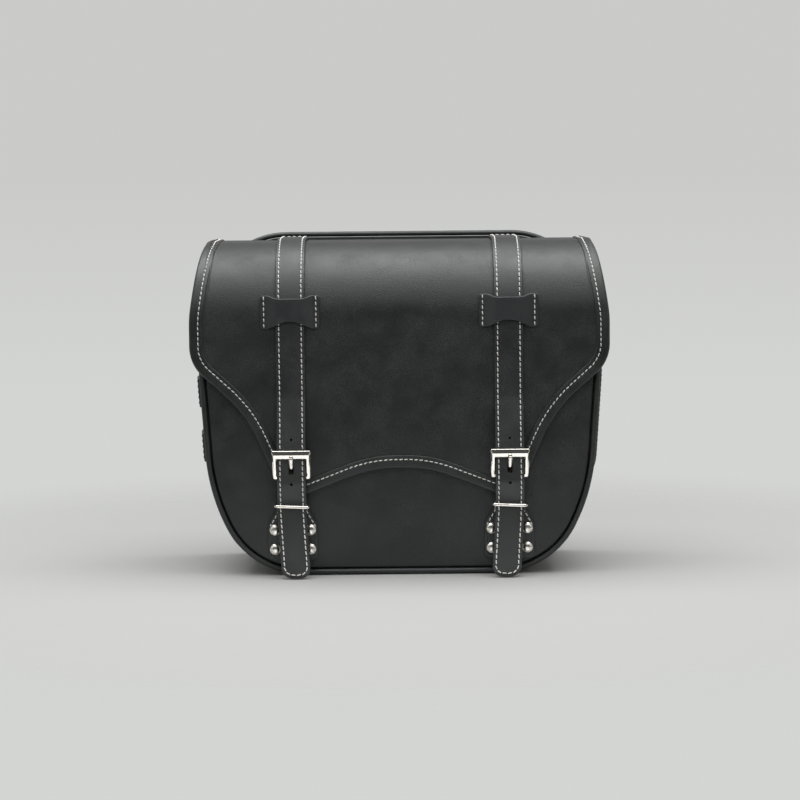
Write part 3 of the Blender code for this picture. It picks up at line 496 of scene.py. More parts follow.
def circle(a, b, diameter, count=20):
    return [Vector((a + diameter / 2 * cos(t), b + diameter / 2 * sin(t)))
            for t in around(count)]


def slotLoop(a, b, width, length, r):
    return roundBox(a - width / 2, a + width / 2, b - length / 2, b + length / 2, r, r, 20)


def turned(name, profile, look, x=0.0, z=0.0, count=32):
    # a revolve about Y at (x, z); the profile is (radius, y) from pole to pole
    bm = bmesh.new()
    rings = []
    for radius, y in profile:
        if radius < 1e-4:
            rings.append([bm.verts.new((x, y, z))] * count)
        else:
            rings.append([bm.verts.new((x + radius * cos(t), y, z + radius * sin(t)))
                          for t in around(count)])
    for a, b in zip(rings, rings[1:]):
        joinRings(bm, a, b)
    return newPiece(name, bm, look, 40)


# materials


def tone(colour, factor=1.0, lift=0.0):
    return (*(np.array(colour) * factor + lift), 1)


def hideGrainGroup():
    # pebbled hide with fine pores, soft mottling and a tint for each pebble
    group = newGroup("hideGrain", "Shader",
                     (("Pebble", "Float", 1.3), ("Pore", "Float", 0.45),
                      ("Softness", "Float", 0.5), ("Seed", "Float", 0.0)),
                     (("Height", "Float"), ("Mottle", "Float"), ("Cell", "Float")))
    maths, seed = group.maths, group.into["Seed"]
    shift = group.add("CombineXYZ", {0: seed, 1: seed, 2: seed})
    place = group.add("VectorMath", {0: group.place(), 1: shift}, operation="ADD")
    wobble = group.noise(place, 420.0, 2.0).outputs["Color"]
    bent = group.add("VectorMath", {0: wobble, 1: (0.0009,) * 3, 2: place},
                     operation="MULTIPLY_ADD")
    cells = {"Vector": bent, "Scale": maths("DIVIDE", 1000.0, group.into["Pebble"]),
             "Randomness": 0.9}
    gaps = group.add("TexVoronoi", cells, feature="DISTANCE_TO_EDGE")
    pores = group.noise(place, maths("DIVIDE", 1000.0, group.into["Pore"]), 3.0, Roughness=0.6)
    soft = group.noise(place, 46.0, 3.0, Roughness=0.5)
    broad = group.noise(place, 11.0, 4.0, Roughness=0.62, Distortion=0.6)
    pebbled = maths("MULTIPLY", group.mapped(gaps.outputs["Distance"], 0.0, 0.34),
                    group.mapped(soft, 0.3, 0.75, 0.35, 1.0))
    fine = maths("MULTIPLY_ADD", pores, 0.55, pebbled)
    group.add("NodeGroupOutput", {
        "Height": maths("MULTIPLY_ADD", soft, group.into["Softness"], fine),
        "Mottle": maths("MULTIPLY_ADD", soft, 0.35, maths("MULTIPLY", broad, 0.65)),
        "Cell": group.add("TexVoronoi", cells).outputs["Color"]})
    return group.tree


def edgeWearAndSheenGroup():
    # cut edges, the pressed line inside them, rubbed cut edges and a painted highlight on folds,
    # from the rim and wear values
    group = newGroup("edgeWearAndSheen", "Shader",
                     (("Line In", "Float", 3.0), ("Line Width", "Float", 0.7),
                      ("Edge Width", "Float", 0.7)),
                     (("Edge", "Float"), ("Groove", "Float"), ("Wear And Sheen", "Float")))
    maths, mapped = group.maths, group.mapped
    rim, wearAndSheen = (group.add("Attribute", attribute_name=label).outputs["Fac"]
                 for label in ("rim", "wearAndSheen"))
    off = maths("ABSOLUTE", maths("SUBTRACT", rim, group.into["Line In"]))
    patchy = mapped(group.noise(group.place(), 130.0, 4.0, Roughness=0.65), 0.36, 0.62)
    group.add("NodeGroupOutput", {
        "Edge": mapped(maths("DIVIDE", rim, group.into["Edge Width"]), 0.5, 1.2, 1.0, 0.0),
        "Groove": mapped(maths("DIVIDE", off, group.into["Line Width"]), 0.0, 1.0, 1.0, 0.0),
        "Wear And Sheen": maths("MULTIPLY", wearAndSheen, patchy, clamp=True)})
    return group.tree


hideGrain, edgeWearAndSheen = hideGrainGroup(), edgeWearAndSheenGroup()


def leatherLook(name, colour=(0.0066, 0.0066, 0.007), rough=(0.355, 0.465), pebble=1.3,
                depth=0.00012, softness=0.5, seed=0.0, lineIn=3.0, lineWidth=0.7,
                lineDepth=0.0, wearAndSheenShare=0.35):
    look = Look(name)
    maths, mixed, mapped = look.maths, look.mixed, look.mapped
    grain = look.add("Group", {"Pebble": pebble, "Softness": softness, "Seed": seed},
                     node_tree=hideGrain).outputs
    edgeMarksAndSheen = look.add("Group", {"Line In": lineIn, "Line Width": lineWidth},
                    node_tree=edgeWearAndSheen).outputs
    hide = mixed(mapped(grain["Mottle"], 0.3, 0.7), tone(colour, 0.72), tone(colour, 1.3))
    for share, other in (
            (mapped(grain["Cell"], 0.0, 1.0, 0.0, 0.35), tone(colour, 0.55)),
            (edgeMarksAndSheen["Edge"], (0.010, 0.010, 0.0105, 1)),
            # lighter colour: wear on rubbed cut edges, and on the bindings a painted highlight
            # along the fold
            (maths("MULTIPLY", edgeMarksAndSheen["Wear And Sheen"], wearAndSheenShare), tone(colour, 2.6, (0.01, 0.01, 0.0095))),
            (maths("MULTIPLY", edgeMarksAndSheen["Groove"], 0.6 if lineDepth else 0.0), tone(colour, 0.4))):
        hide = mixed(share, hide, other)
    base = mapped(grain["Mottle"], 0.28, 0.72, *rough)
    gloss = maths("MULTIPLY_ADD", grain["Height"], 0.045, base)
    return look.finish({"Base Color": hide, "Specular IOR Level": 0.8,
                        "Specular Tint": (0.95, 1.0, 0.995, 1),
                        "Roughness": maths("MULTIPLY_ADD", edgeMarksAndSheen["Wear And Sheen"], -0.08, gloss)},
                       maths("MULTIPLY_ADD", edgeMarksAndSheen["Groove"], -lineDepth / depth, grain["Height"]),
                       distance=depth)


def suedeLook(name, colour, pile=0.35):
    look = Look(name)
    place = look.place()
    nap = look.noise(place, 1500.0, 3.0)
    brushed = look.noise(place, 26.0, 4.0, Distortion=1.2)
    share = look.maths("MULTIPLY_ADD", nap, pile, look.maths("MULTIPLY", brushed, 1 - pile))
    return look.finish({
        "Base Color": look.mixed(look.mapped(share, 0.32, 0.66), tone(colour, 0.6),
                                 tone(colour, 1.4)),
        "Roughness": look.mapped(brushed, 0.3, 0.7, 0.82, 0.96),
        "Sheen Weight": 0.25, "Sheen Roughness": 0.6}, nap, 0.7, 0.00025)


def wovenLook(name, colour, threadSize=0.7):
    # a plain weave of round threads crossing over and under, on the tray's own directions
    look = Look(name)
    weave = look.add("Attribute", attribute_name="weave").outputs["Vector"]
    split = look.add("SeparateXYZ", {0: weave}).outputs
    warp, weft = (look.maths("ABSOLUTE", look.maths("SINE", look.maths(
        "MULTIPLY", split[k], pi * 1000 / threadSize))) for k in (0, 1))
    checks = look.add("TexChecker", {"Vector": weave, "Scale": 1000 / threadSize})
    over = look.mixed(checks.outputs["Fac"], warp, weft)
    slub = look.noise(weave, 60.0, 4.0)
    # darker where each thread dips under the next and lighter on its crown: painted shade between
    # the threads, mixed with the slubs' own tone
    shade = look.maths("MULTIPLY_ADD", slub, 0.6, look.maths("MULTIPLY", over, 0.5))
    return look.finish({
        "Base Color": look.mixed(look.mapped(shade, 0.1, 0.95), tone(colour, 0.45),
                                 tone(colour, 1.5)),
        "Roughness": look.mapped(slub, 0.3, 0.7, 0.78, 0.95), "Sheen Weight": 0.15},
        over, 0.8, 0.0003)


def boardLook(name):
    look = Look(name)
    place = look.place()
    fibres = look.noise(place, 700.0, 5.0, Distortion=2.5)
    flecks = look.add("TexVoronoi", {"Vector": place, "Scale": 260.0}).outputs["Distance"]
    body = look.mixed(look.mapped(fibres, 0.3, 0.7), (0.035, 0.031, 0.028, 1),
                      (0.085, 0.076, 0.066, 1))
    fleck = look.maths("MULTIPLY", look.mapped(flecks, 0.1, 0.32, 1.0, 0.0), 0.35)
    return look.finish({"Base Color": look.mixed(fleck, body, (0.13, 0.115, 0.095, 1)),
                        "Roughness": look.mapped(fibres, 0.3, 0.7, 0.7, 0.9)},
                       fibres, 0.6, 0.0002)


def nickelLook(name, rough=0.1, colour=(0.90, 0.875, 0.83)):
    # polished nickel with faint handling smears and hairline scratches
    look = Look(name)
    place = look.place()
    smear = look.noise(place, 160.0, 4.0, Distortion=1.5)
    stretched = look.add("Mapping", {"Vector": place, "Scale": (1.0, 9.0, 0.7),
                                     "Rotation": (0.2, 0.4, 0.5)})
    hairs = look.noise(stretched, 900.0, 2.0)
    fine = look.maths("MULTIPLY", look.mapped(hairs, 0.5, 0.75), 0.05)
    dull = look.mapped(smear, 0.3, 0.75, rough - 0.03, rough + 0.09)
    return look.finish({
        "Base Color": look.mixed(look.mapped(smear, 0.35, 0.7), tone(colour),
                                 tone(colour, (0.86, 0.85, 0.82))),
        "Roughness": look.maths("ADD", dull, fine), "Metallic": 1.0}, hairs, 0.25, 0.00004)


def threadLook(name, colour=(0.86, 0.85, 0.82)):
    # waxed thread: two plies twisting along it, a little soiled
    look = Look(name)
    place = look.place()
    ply = look.add("TexWave", {"Vector": place, "Scale": 420.0, "Distortion": 1.5},
                   wave_type="BANDS", bands_direction="DIAGONAL").outputs["Fac"]
    soil = look.noise(place, 90.0, 4.0)
    # the darker part of each ply band is painted shade in the grooves of the twist
    clean = look.mixed(look.mapped(ply, 0.1, 0.9), tone(colour, (0.78, 0.77, 0.75)), tone(colour))
    return look.finish({
        "Base Color": look.mixed(look.mapped(soil, 0.42, 0.8, 0.0, 0.5), clean,
                                 tone(colour, (0.6, 0.59, 0.57))),
        "Roughness": look.mapped(soil, 0.3, 0.7, 0.5, 0.68)}, ply, 0.6, 0.0001)


coverHide = leatherLook("coverHide", pebble=1.25, softness=0.9)
panelHide = leatherLook("panelHide", pebble=1.25, softness=0.8, seed=3.1)
gussetHide = leatherLook("gussetHide", pebble=1.35, softness=1.0, seed=7.7)
bindingHide = leatherLook("bindingHide", (0.0095, 0.0095, 0.010), (0.34, 0.46), 0.9, 0.00008,
                          softness=0.7, seed=1.9)
pipingHide = leatherLook("pipingHide", (0.009, 0.009, 0.0095), (0.34, 0.46), 0.8, 0.00008,
                         seed=5.2)
strapHide = leatherLook("strapHide", (0.0105, 0.0105, 0.011), (0.35, 0.48), 0.95, 0.00009,
                        softness=0.7, seed=2.4, lineWidth=0.9, lineDepth=0.00022, wearAndSheenShare=0.6)
loopHide = leatherLook("loopHide", (0.015, 0.0145, 0.0165), (0.37, 0.5), 0.95, 0.00008,
                       softness=0.7, seed=4.6, wearAndSheenShare=0.5)
sideHide = leatherLook("sideHide", (0.008, 0.008, 0.0083), (0.36, 0.48), 1.0, 0.00008,
                       softness=0.7, seed=5.9, wearAndSheenShare=0.3)
tabHide = leatherLook("tabHide", (0.0125, 0.0125, 0.013), pebble=1.1, seed=6.3, lineIn=2.6,
                      lineWidth=0.9, lineDepth=0.0002, wearAndSheenShare=0.5)
mountHide = leatherLook("mountHide", pebble=1.4, softness=0.8, seed=8.8, lineIn=6.0,
                        lineWidth=1.6, lineDepth=0.0005)
lidSuede = suedeLook("lidSuede", (0.034, 0.031, 0.029))
liningWeave = wovenLook("liningWeave", (0.036, 0.036, 0.039))
fibreBoard = boardLook("pressedFibreBoard")
nickel = nickelLook("polishedNickel")
nickelWire = nickelLook("nickelWire", rough=0.12)
nickelDome = nickelLook("nickelDome", rough=0.22)
threads = {"pale": threadLook("paleThread"), "dark": threadLook("darkThread", (0.03, 0.03, 0.031))}
print("materials ready")

# the bag's body

bag = {
    "depth": 130.0, "mouthHalf": 166.0, "mouthZ": 282.0, "wideHalf": 175.9, "wideZ": 190.0,
    "lowHalf": 168.0, "lowZ": 73.0, "lowRadius": 170.0, "baseHalf": 132.7, "baseRadius": 75.0,
    "frontTopZ": 225.0, "backTopZ": 278.0, "gussetHalf": 61.4, "gussetThick": 3.5,
    "mouthRadius": 52.0, "panelInset": 5.3, "panelThick": 3.0, "bulge": 1.1, "strapX": 94.5,
}
frontY, backY = -bag["depth"] / 2, bag["depth"] / 2
strapX = bag["strapX"]
bothSides = ((-strapX, "left"), (strapX, "right"))


def bodyLine(topZ):
    # the outside of the gusset from topZ on the left, down and round to topZ on the right
    mouth, wide, low = ((-bag[at + "Half"], bag[at + "Z"]) for at in ("mouth", "wide", "low"))
    rise = (topZ - wide[1]) / (mouth[1] - wide[1])
    topX = wide[0] + (mouth[0] - wide[0]) * rise
    side = radiusFor(0.74 * (bag["frontTopZ"] - wide[1]), mouth, wide, low)
    return roundLine(mirrored([(topX, topZ, 0), (*wide, side), (*low, bag["lowRadius"]),
                               (-bag["baseHalf"], 0, bag["baseRadius"])]), step=1.5)


def panelLine(topZ):
    return offset(bodyLine(topZ), -bag["panelInset"])


def gussetRelief(y, along):
    # the sides swell a little between the seams, and wander; the base stays flat
    fromBase = abs(along - gussetForm.end / 2)
    upTheSide = fade(fromBase, 150, 215) * fade(gussetForm.end / 2 - fromBase, 0, 60)
    clear = 1 - 0.75 * fade(62 - abs(y + 14), 10, 30) * fade(upTheSide, 0.2, 0.6)
    dome = max(0.0, 1 - (y / bag["gussetHalf"]) ** 2) ** 0.6
    wander = drift(y / 42, along / 66, 1.7)
    return upTheSide * clear * dome * (bag["bulge"] * 0.35 + 0.75 * wander)


gussetForm = Former(bodyLine(bag["mouthZ"]), acrossY, gussetRelief)
half, far = bag["gussetHalf"], gussetForm.end
gussetEdge = roundLine([(-half, 0, bag["mouthRadius"]), (-half, far, bag["mouthRadius"]),
                        (half, far, 0), (half, 0, 0)], True)
rideOn(cutLeather("gusset_leather", gussetEdge, gussetForm, gussetHide, -bag["gussetThick"],
                  bag["gussetThick"], grid=4.5, edge=1.6), "bag", "body_leather", "gusset")


def frontRelief(x, z):
    # the front panel rolls in to its seam and sits a little unevenly, never in front of its face
    wander = drift(x / 120, z / 90, 2.2)
    besideStraps = fade(abs(abs(x) - strapX), 24, 36)
    return -besideStraps * 0.45 * (0.5 + 0.5 * wander) * fade(z, 4, 30)


rideOn(cutLeather("front_panel_leather", panelLine(bag["frontTopZ"]),
                  standing(frontY, relief=frontRelief), panelHide, -bag["panelThick"],
                  bag["panelThick"], edge=2.6), "bag", "body_leather", "front_panel")

# the back panel runs up, over as a lip and on as the lid: one piece of leather

cover = {"thick": 2.2, "lidZ": 289.5, "foldY": 50.0, "lipRadius": 8.0, "frontY": -70.8,
         "bendRadius": 62.2, "lipHalf": 168.0, "foldHalf": 169.0, "frontHalf": 181.0,
         "shoulder": (186.0, 34.0), "waist": (38.9, 142.9, 120.0), "tip": (5.0, 66.0, 14.0),
         "arch": (0.26, 94.7, 0.83), "wave": 0.75, "ripple": 0.25, "bindingWidth": 10.5,
         "bindingStart": 3.0, "bindingGroove": 6.7}
lidZ = cover["lidZ"]


def coverRelief(x, along):
    # soft unevenness on the lid, still under the straps and on the fold and the back
    past = along - foldAlong
    clear = fade(abs(abs(x) - strapX), 27, 45)
    broad = drift(x / 92, past / 74, 0.3)
    small = drift(x / 37, past / 43, 4.1)
    back = fade(-past, 60, 120) * fade(along, 10, 40) * 0.25 * (broad - 0.6)
    return fade(past, 25, 70) * clear * (cover["wave"] * broad + cover["ripple"] * small) + back


coverForm = Former(roundLine([(backY, 0, 0), (backY, lidZ, cover["lipRadius"]),
                              (cover["frontY"], lidZ, cover["bendRadius"]),
                              (cover["frontY"], 0, 0)], step=2.0), acrossX)
lipAlong = next(s for s, p in zip(coverForm.stations, coverForm.line) if p.y > lidZ - 1e-3)
foldAlong = lipAlong + (backY - cover["lipRadius"]) - cover["foldY"]
bendLong = cover["bendRadius"] * pi / 2
bendEnd = coverForm.end - (lidZ - cover["bendRadius"])


def lidEdge(startAlong):
    # the lid's free edge in its flat pattern, from the left end of the fold to the right end
    end, frontHalf = coverForm.end, cover["frontHalf"]
    shoulderZ, shoulderRadius = cover["shoulder"]
    waistOut, waistZ, waistRadius = cover["waist"]
    tipOut, tipZ, tipRadius = cover["tip"]
    archShare, archZ, bendShare = cover["arch"]
    tip, arch = (-strapX - tipOut, end - tipZ), (-archShare * strapX, end - archZ)
    archRadius = radiusFor(-bendShare * arch[0], tip, arch, (0, arch[1]))
    return roundLine(mirrored([
        (-cover["foldHalf"], startAlong, 0),
        (-cover["foldHalf"], bendEnd - 0.86 * bendLong, 80.0),
        (-frontHalf, bendEnd + 0.02 * bendLong, 110.0),
        (-frontHalf, end - shoulderZ, shoulderRadius),
        (-strapX - waistOut, end - waistZ, waistRadius),
        (*tip, tipRadius), (*arch, archRadius)]), step=2.5)


lipEnd = [(cover["lipHalf"], foldAlong - 4), (cover["lipHalf"], lipAlong - 9)]
coverEdge = ([Vector((-x, along)) for x, along in lipEnd] + panelLine(bag["backTopZ"])
             + [Vector(corner) for corner in lipEnd[::-1]] + lidEdge(foldAlong + 2)[::-1])
coverForm.relief = coverRelief
foldRows = [foldAlong + k for k in np.arange(-7, 7.01, 0.7)]
lipRows = [s for s in coverForm.stations if s < lipAlong + 1]
coverLeather = cutLeather("back_and_lid_leather", coverEdge, coverForm, coverHide,
                          -cover["thick"], cover["thick"], cuts=foldRows + lipRows)
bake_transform(coverLeather)
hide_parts("back_panel", "lid")
print("panels, gusset and lid cut")

# folded bindings


def foldedSection(width, thick, groove, skin=1.0, gap=0.15, lowWidth=None):
    # (inwards, height) round a strip folded over an edge; heights are off the outer face
    proud = gap + skin
    radius = (thick + 2 * proud) / 2
    lowWidth = lowWidth or width
    top = [(width, gap), (width, gap + 0.55), (width - 0.25, gap + 0.85), (width - 0.8, proud)]
    for d, share in ((1.2, 0), (0.7, 0.4), (0.3, 0.9), (0, 1), (-0.3, 0.9), (-0.7, 0.4),
                     (-1.2, 0)):
        top.append((groove + d, proud - 0.16 * share))
    angles = [pi * k / 10 for k in range(11)]
    bend = [(-proud + radius - radius * sin(a), -thick / 2 + radius * cos(a))
            for a in angles]
    bottom = [(d if d < groove + 2 else d + lowWidth - width, -thick - h) for d, h in top[::-1]]
    inside = [(lowWidth, -thick - gap), (-gap, -thick - gap), (-gap, gap)]
    ring = top + bend + bottom[:-1] + inside
    rim = [min(width - d, 12.0) for d, h in top] + [12.0] * len(bend)
    rim += [min(lowWidth - d, 12.0) for d, h in bottom[:-1]] + [0.0, 12.0, 12.0]
    # this value paints a highlight along the outside of the fold, strongest where the fold faces
    # furthest out
    wearAndSheen = [0.0] * len(top) + [sin(a) ** 2 for a in angles]
    return ring, rim, wearAndSheen + [0.0] * (len(ring) - len(wearAndSheen))


def foldedBinding(name, stoodFor, body, edge, inward, shape, section):
    # edge is the flat line it is folded over; inward is +1 where the leather lies to its right
    ring, rim, wearAndSheen = section
    rings = [[shape.at(*(p + n * (inward * d)), h) for d, h in ring]
             for p, n in zip(edge, rightNormals(edge))]
    rideOn(sweep(name, rings, bindingHide, rim=rim, wearAndSheen=wearAndSheen), body, "binding_leather", stoodFor)


foldedBinding("lid_edge_binding", "lid_binding", "lid",
              dense(lidEdge(foldAlong + cover["bindingStart"]), 5.0), 1, coverForm,
              foldedSection(cover["bindingWidth"], cover["thick"], cover["bindingGroove"]))

mouth = {"width": 9.0, "drop": 4.0, "groove": 5.6, "frontShort": 7.3, "frontUnder": 1.9}
mouthRows = []
for name, top, inward in (("mouth_binding_left", 0.0, 1), ("mouth_binding_right", far, -1)):
    low = top + inward * (bag["mouthRadius"] + mouth["drop"])
    edge = dense(roundLine([(half - 0.2, top, 0), (-half, top, bag["mouthRadius"]),
                            (-half, low, 0)]), 5.0)
    foldedBinding(name + "_strip", name, "bag", edge, -inward, gussetForm,
                  foldedSection(mouth["width"], bag["gussetThick"], mouth["groove"]))
    mouthRows.append((gussetForm, offset(edge, -inward * mouth["groove"]), -bag["gussetThick"]))

mouthHalfX = bag["wideHalf"] - bag["gussetThick"] - mouth["frontShort"]
frontTop = [Vector((x, bag["frontTopZ"])) for x in np.arange(-mouthHalfX, mouthHalfX + 0.1, 4.0)]
flatFront = standing(frontY)
foldedBinding("mouth_binding_front_strip", "mouth_binding_front", "bag", frontTop, 1, flatFront,
              foldedSection(mouth["width"], bag["panelThick"], mouth["groove"],
                            lowWidth=mouth["frontUnder"]))
mouthRows.append((flatFront, offset(frontTop, mouth["groove"]), None))

# piping and the mounting panel

piping = {"radius": 2.4, "inset": 2.6, "y": 64.1, "wander": 0.05}
for name, y, topZ in (("front_piping", -piping["y"], bag["frontTopZ"]),
                      ("back_piping", piping["y"], bag["backTopZ"])):
    rideOn(planarTube(name + "_roll", dense(offset(bodyLine(topZ), -piping["inset"]), 4.0),
                      acrossY, y, piping["radius"], pipingHide, wander=piping["wander"]),
           "bag", "piping_leather", name)

mount = {"topHalf": 148.8, "topZ": 291.6, "bottomHalf": 115.1, "bottomZ": 66.0, "radius": 24.0,
         "shoulder": (28.0, 15.5, 70.0), "shoulderRadius": 19.1, "innerY": 65.3, "thick": 5.0,
         "roll": 2.3, "rollGap": 0.3, "rowIn": 6.0, "rowDeep": 0.75, "pad": 0.7,
         "wander": 0.04}
run, drop, wideRadius = mount["shoulder"]
mountCorners = mirrored([(run - mount["topHalf"], mount["topZ"], wideRadius),
                         (-mount["topHalf"], mount["topZ"] - drop, mount["shoulderRadius"]),
                         (-mount["bottomHalf"], mount["bottomZ"], mount["radius"])])
mountEdge = roundLine(mountCorners[2:] + mountCorners[:2], True)
mountForm = standing(mount["innerY"], forwards=False)


def mountCrown(x, z, d):
    # a shallow pressed channel where it is sewn, inside a flat border
    channel = exp(-((d - mount["rowIn"]) / 1.3) ** 2)
    soft = 0.18 * drift(x / 60, z / 60, 9.0) - 0.18
    return -mount["pad"] * channel + soft * fade(d, 7, 25)


rideOn(cutLeather("mounting_panel_leather", mountEdge, mountForm, mountHide, 0.0,
                  mount["thick"], grid=3.0, edge=1.3, crown=mountCrown),
       "bag", "body_leather", "mounting_panel")
aroundMount = dense(inset(mountEdge, -mount["roll"] - mount["rollGap"]), 5.0, True)
rideOn(planarTube("mounting_panel_edge_roll", aroundMount, acrossY,
                  mount["innerY"] + mount["thick"] / 2, mount["roll"], pipingHide,
                  closed=True, wander=mount["wander"]),
       "bag", "piping_leather", "mounting_panel_roll")
print("bindings, piping and mounting panel made")

# linings and boards

liner = {"inset": 6.1, "half": 59.4, "topZ": 221.0, "thick": 0.8, "sag": 0.9, "settle": 25}


def baked(obj):
    # the same object as a plain mesh, its modifiers carried out
    mesh = plainMesh(obj)
    obj.modifiers.clear()
    obj.data = mesh
    return obj


def slack(place):
    return liner["sag"] * (0.6 + drift(place.x / 35, place.y / 35, place.z / 48))


def liningTray():
    # an open tray of cloth: a band round the sides and base between two flat walls
    line = dense(offset(bodyLine(liner["topZ"]), -liner["inset"]), 5.0)
    line[0].y = line[-1].y = liner["topZ"]
    form = Former(line, acrossY)
    bm = bmesh.new()
    weave = bm.verts.layers.float_vector.new("weave")
    across = [-1 + k / 13 for k in range(27)]
    rows = [[bm.verts.new(form.at(t * liner["half"], s)) for t in across] for s in form.stations]
    for row, s in zip(rows, form.stations):
        for vert, t in zip(row, across):
            vert[weave] = Vector((t * liner["half"], s, 0)) * mm
            vert.co -= form.facing(0, s) * slack(vert.co) * (1 - t * t) * fade(
                min(s, form.end - s), 0, liner["settle"])
    for a, b in zip(rows, rows[1:]):
        for k in range(len(across) - 1):
            bm.faces.new((a[k], b[k], b[k + 1], a[k + 1]))
    for side, column in ((-1, 0), (1, -1)):
        wall = [bm.faces.new([row[column] for row in rows])]
        lines = [((x, 0, 0), (1, 0, 0)) for x in np.arange(-155, 156, 7.5)]
        lines += [((0, 0, z), (0, 0, 1)) for z in np.arange(12, 220, 7.5)]
        for co, no in lines:
            geometry = {v for f in wall for v in f.verts} | {e for f in wall for e in f.edges}
            cut = bmesh.ops.bisect_plane(bm, geom=list(geometry) + wall, plane_co=co,
                                         plane_no=no, dist=1e-3)["geom"]
            wall = [f for f in cut if isinstance(f, bmesh.types.BMFace)]
        inner = list({v for f in wall for v in f.verts})
        for v, gap in zip(inner, loopDistance([(v.co.x, v.co.z) for v in inner], line)):
            v[weave] = Vector((v.co.x, v.co.z, 0)) * mm
            v.co.y -= side * slack(v.co) * fade(gap, 0, liner["settle"])
    tray = newPiece("lining_tray", bm, liningWeave, 35)
    wall = tray.modifiers.new("cloth", "SOLIDIFY")
    wall.thickness, wall.offset = liner["thick"] * mm, -1
    return baked(tray)


rideOn(liningTray(), "bag", "lining_cloth", "lining")

suede = {"gap": 0.3, "drop": 1.1, "thick": 0.8}
suedeEdge = offset(lidEdge(foldAlong + suede["gap"]), cover["bindingWidth"] + suede["gap"])
rideOn(cutLeather("lid_suede_lining", suedeEdge, coverForm, lidSuede,
                  -cover["thick"] - suede["drop"], suede["thick"], edge=0.25),
       "lid", "lid_suede", "lid_lining")
for name in ("front_stiffener", "back_stiffener", "base_stiffener"):
    nodes[name].data.materials.clear()
    nodes[name].data.materials.append(fibreBoard)
print("linings and boards made")

# straps, loops and chapes

stitchRows = {}
threadSink = 0.03  # how deep a row's ends lie in the leather
strap = {"width": 25.0, "thick": 3.0, "topRadius": 1.2, "tipRadius": 9.0, "rowIn": 2.8,
         "rowStart": 5.0, "crown": 0.2, "punches": (120.0, 82.6), "punch": 2.2,
         "slot": (4.5, 9.2, 1.4), "slotZ": 95.3, "slotLean": 2.4, "lean": 3.6, "leanFrom": 57.5,
         "pitch": 4.65, "bendsBelow": 160, "sink": 0.05,
         "path": ((45.5, 289.8, 0), (-71.1, 289.8, 62.5), (-71.1, 157, 50), (-82.9, 92, 8),
                  (-82.9, 83, 12), (-78.3, 66.5, 25), (-83.4, 18, 50), (-86.6, 0.4, 0))}


def addRow(body, form, line, height=0.0, under=False, thread="pale", pitch=4.4):
    # a row of stitches along a flat line on a former
    stitchRows.setdefault((body, thread, pitch), []).append(
        [(form.at(p.x, p.y, height), form.facing(p.x, p.y, under)) for p in dense(line, 1.5)])


def strapForm(x):
    # under the keeper the tail leans towards the middle of the bag
    slope = copysign(tan(radians(strap["lean"])), x)
    return Former(roundLine(strap["path"]), lambda across, p: Vector(
        (across - slope * max(0.0, strap["leanFrom"] - p.y), p.x, p.y)))


def alongStrap(form, z):
    for i in range(len(form.line) - 2, -1, -1):
        low, high = form.line[i + 1], form.line[i]
        if low.y <= z <= high.y:
            return form.stations[i] + (high.y - z) / (high.y - low.y) * (low - high).length
    return 0.0


def strapCrown(x, along, d):
    groove = exp(-((d - strap["rowIn"]) / 0.8) ** 2)
    return strap["crown"] * (fade(d, 0.5, 7.0) - 0.5) - 0.1 * groove


for x, word in bothSides:
    form = strapForm(x)
    w, end, tip = strap["width"] / 2, form.end, strap["tipRadius"]
    outline = roundBox(x - w, x + w, 0, end, strap["topRadius"], tip, 6)
    punches = [(circle(x, alongStrap(form, z), strap["punch"], 18), 0) for z in strap["punches"]]
    punches.append((slotLoop(x, alongStrap(form, strap["slotZ"]), *strap["slot"]),
                    strap["slotLean"]))
    bends = [s for s in form.stations if s > alongStrap(form, strap["bendsBelow"])]
    rideOn(cutLeather("strap_leather_" + word, outline, form, strapHide, 0.0, strap["thick"],
                      grid=2.6, edge=0.8, under=0.5, holes=punches, crown=strapCrown,
                      cuts=bends), "lid", "strap_leather", "strap_" + word)
    w, end, top = w - strap["rowIn"], end - strap["rowIn"], strap["rowStart"]
    row = roundLine([(x - w, top, 0), (x - w, end, tip - 2), (x + w, end, tip - 2),
                     (x + w, top, 0)], step=6)
    for line in (row, [row[-1], row[0]]):
        addRow("lid", form, line, strap["thick"] - strap["sink"], pitch=strap["pitch"])

loop = {"middle": 230.4, "end": 14.4, "top": 2.6, "bottom": 6.4, "thick": 2.0, "rowIn": 3.1,
        "rowEnds": (3.0, 2.2), "corner": 2.4, "pitch": 4.1, "lowWaist": (2, 22),
        "highWaist": (9, 20),
        "path": ((-25.6, -71.1, 0), (-20, -71.1, 11), (-11.6, -75.4, 9))}


def loopOutline(end):
    # a band with straight sewn ends and a waist that curves in smoothly over the strap
    bottom, top = loop["middle"] - loop["end"], loop["middle"] + loop["end"]
    r = loop["corner"]
    low, high = [], []
    for k in range(73):
        u = end * k / 72
        turn = rounded(min(u, end - u), r)
        lowIn, highIn = (depth * (1 - fade(abs(u - end / 2), *waist)) for depth, waist in (
            (loop["bottom"], loop["lowWaist"]), (loop["top"], loop["highWaist"])))
        low.append(Vector((bottom + lowIn + turn, u)))
        high.append(Vector((top - highIn - turn / 2, u)))
    return low + high[::-1]


for x, word in bothSides:
    form = Former(roundLine(mirrored(loop["path"], x), step=2.5), acrossZ)
    rideOn(cutLeather("strap_loop_leather_" + word, loopOutline(form.end), form, loopHide, 0.0,
                      loop["thick"], grid=2.2, edge=0.6, cuts=form.stations),
           "lid", "strap_leather", "strap_loop_" + word)
    low = loop["middle"] - loop["end"] + loop["rowEnds"][0]
    high = loop["middle"] + loop["end"] - loop["rowEnds"][1]
    for along in (loop["rowIn"], form.end - loop["rowIn"]):
        addRow("lid", form, [Vector((z, along)) for z in (low, high)],
               loop["thick"] - threadSink, pitch=loop["pitch"])

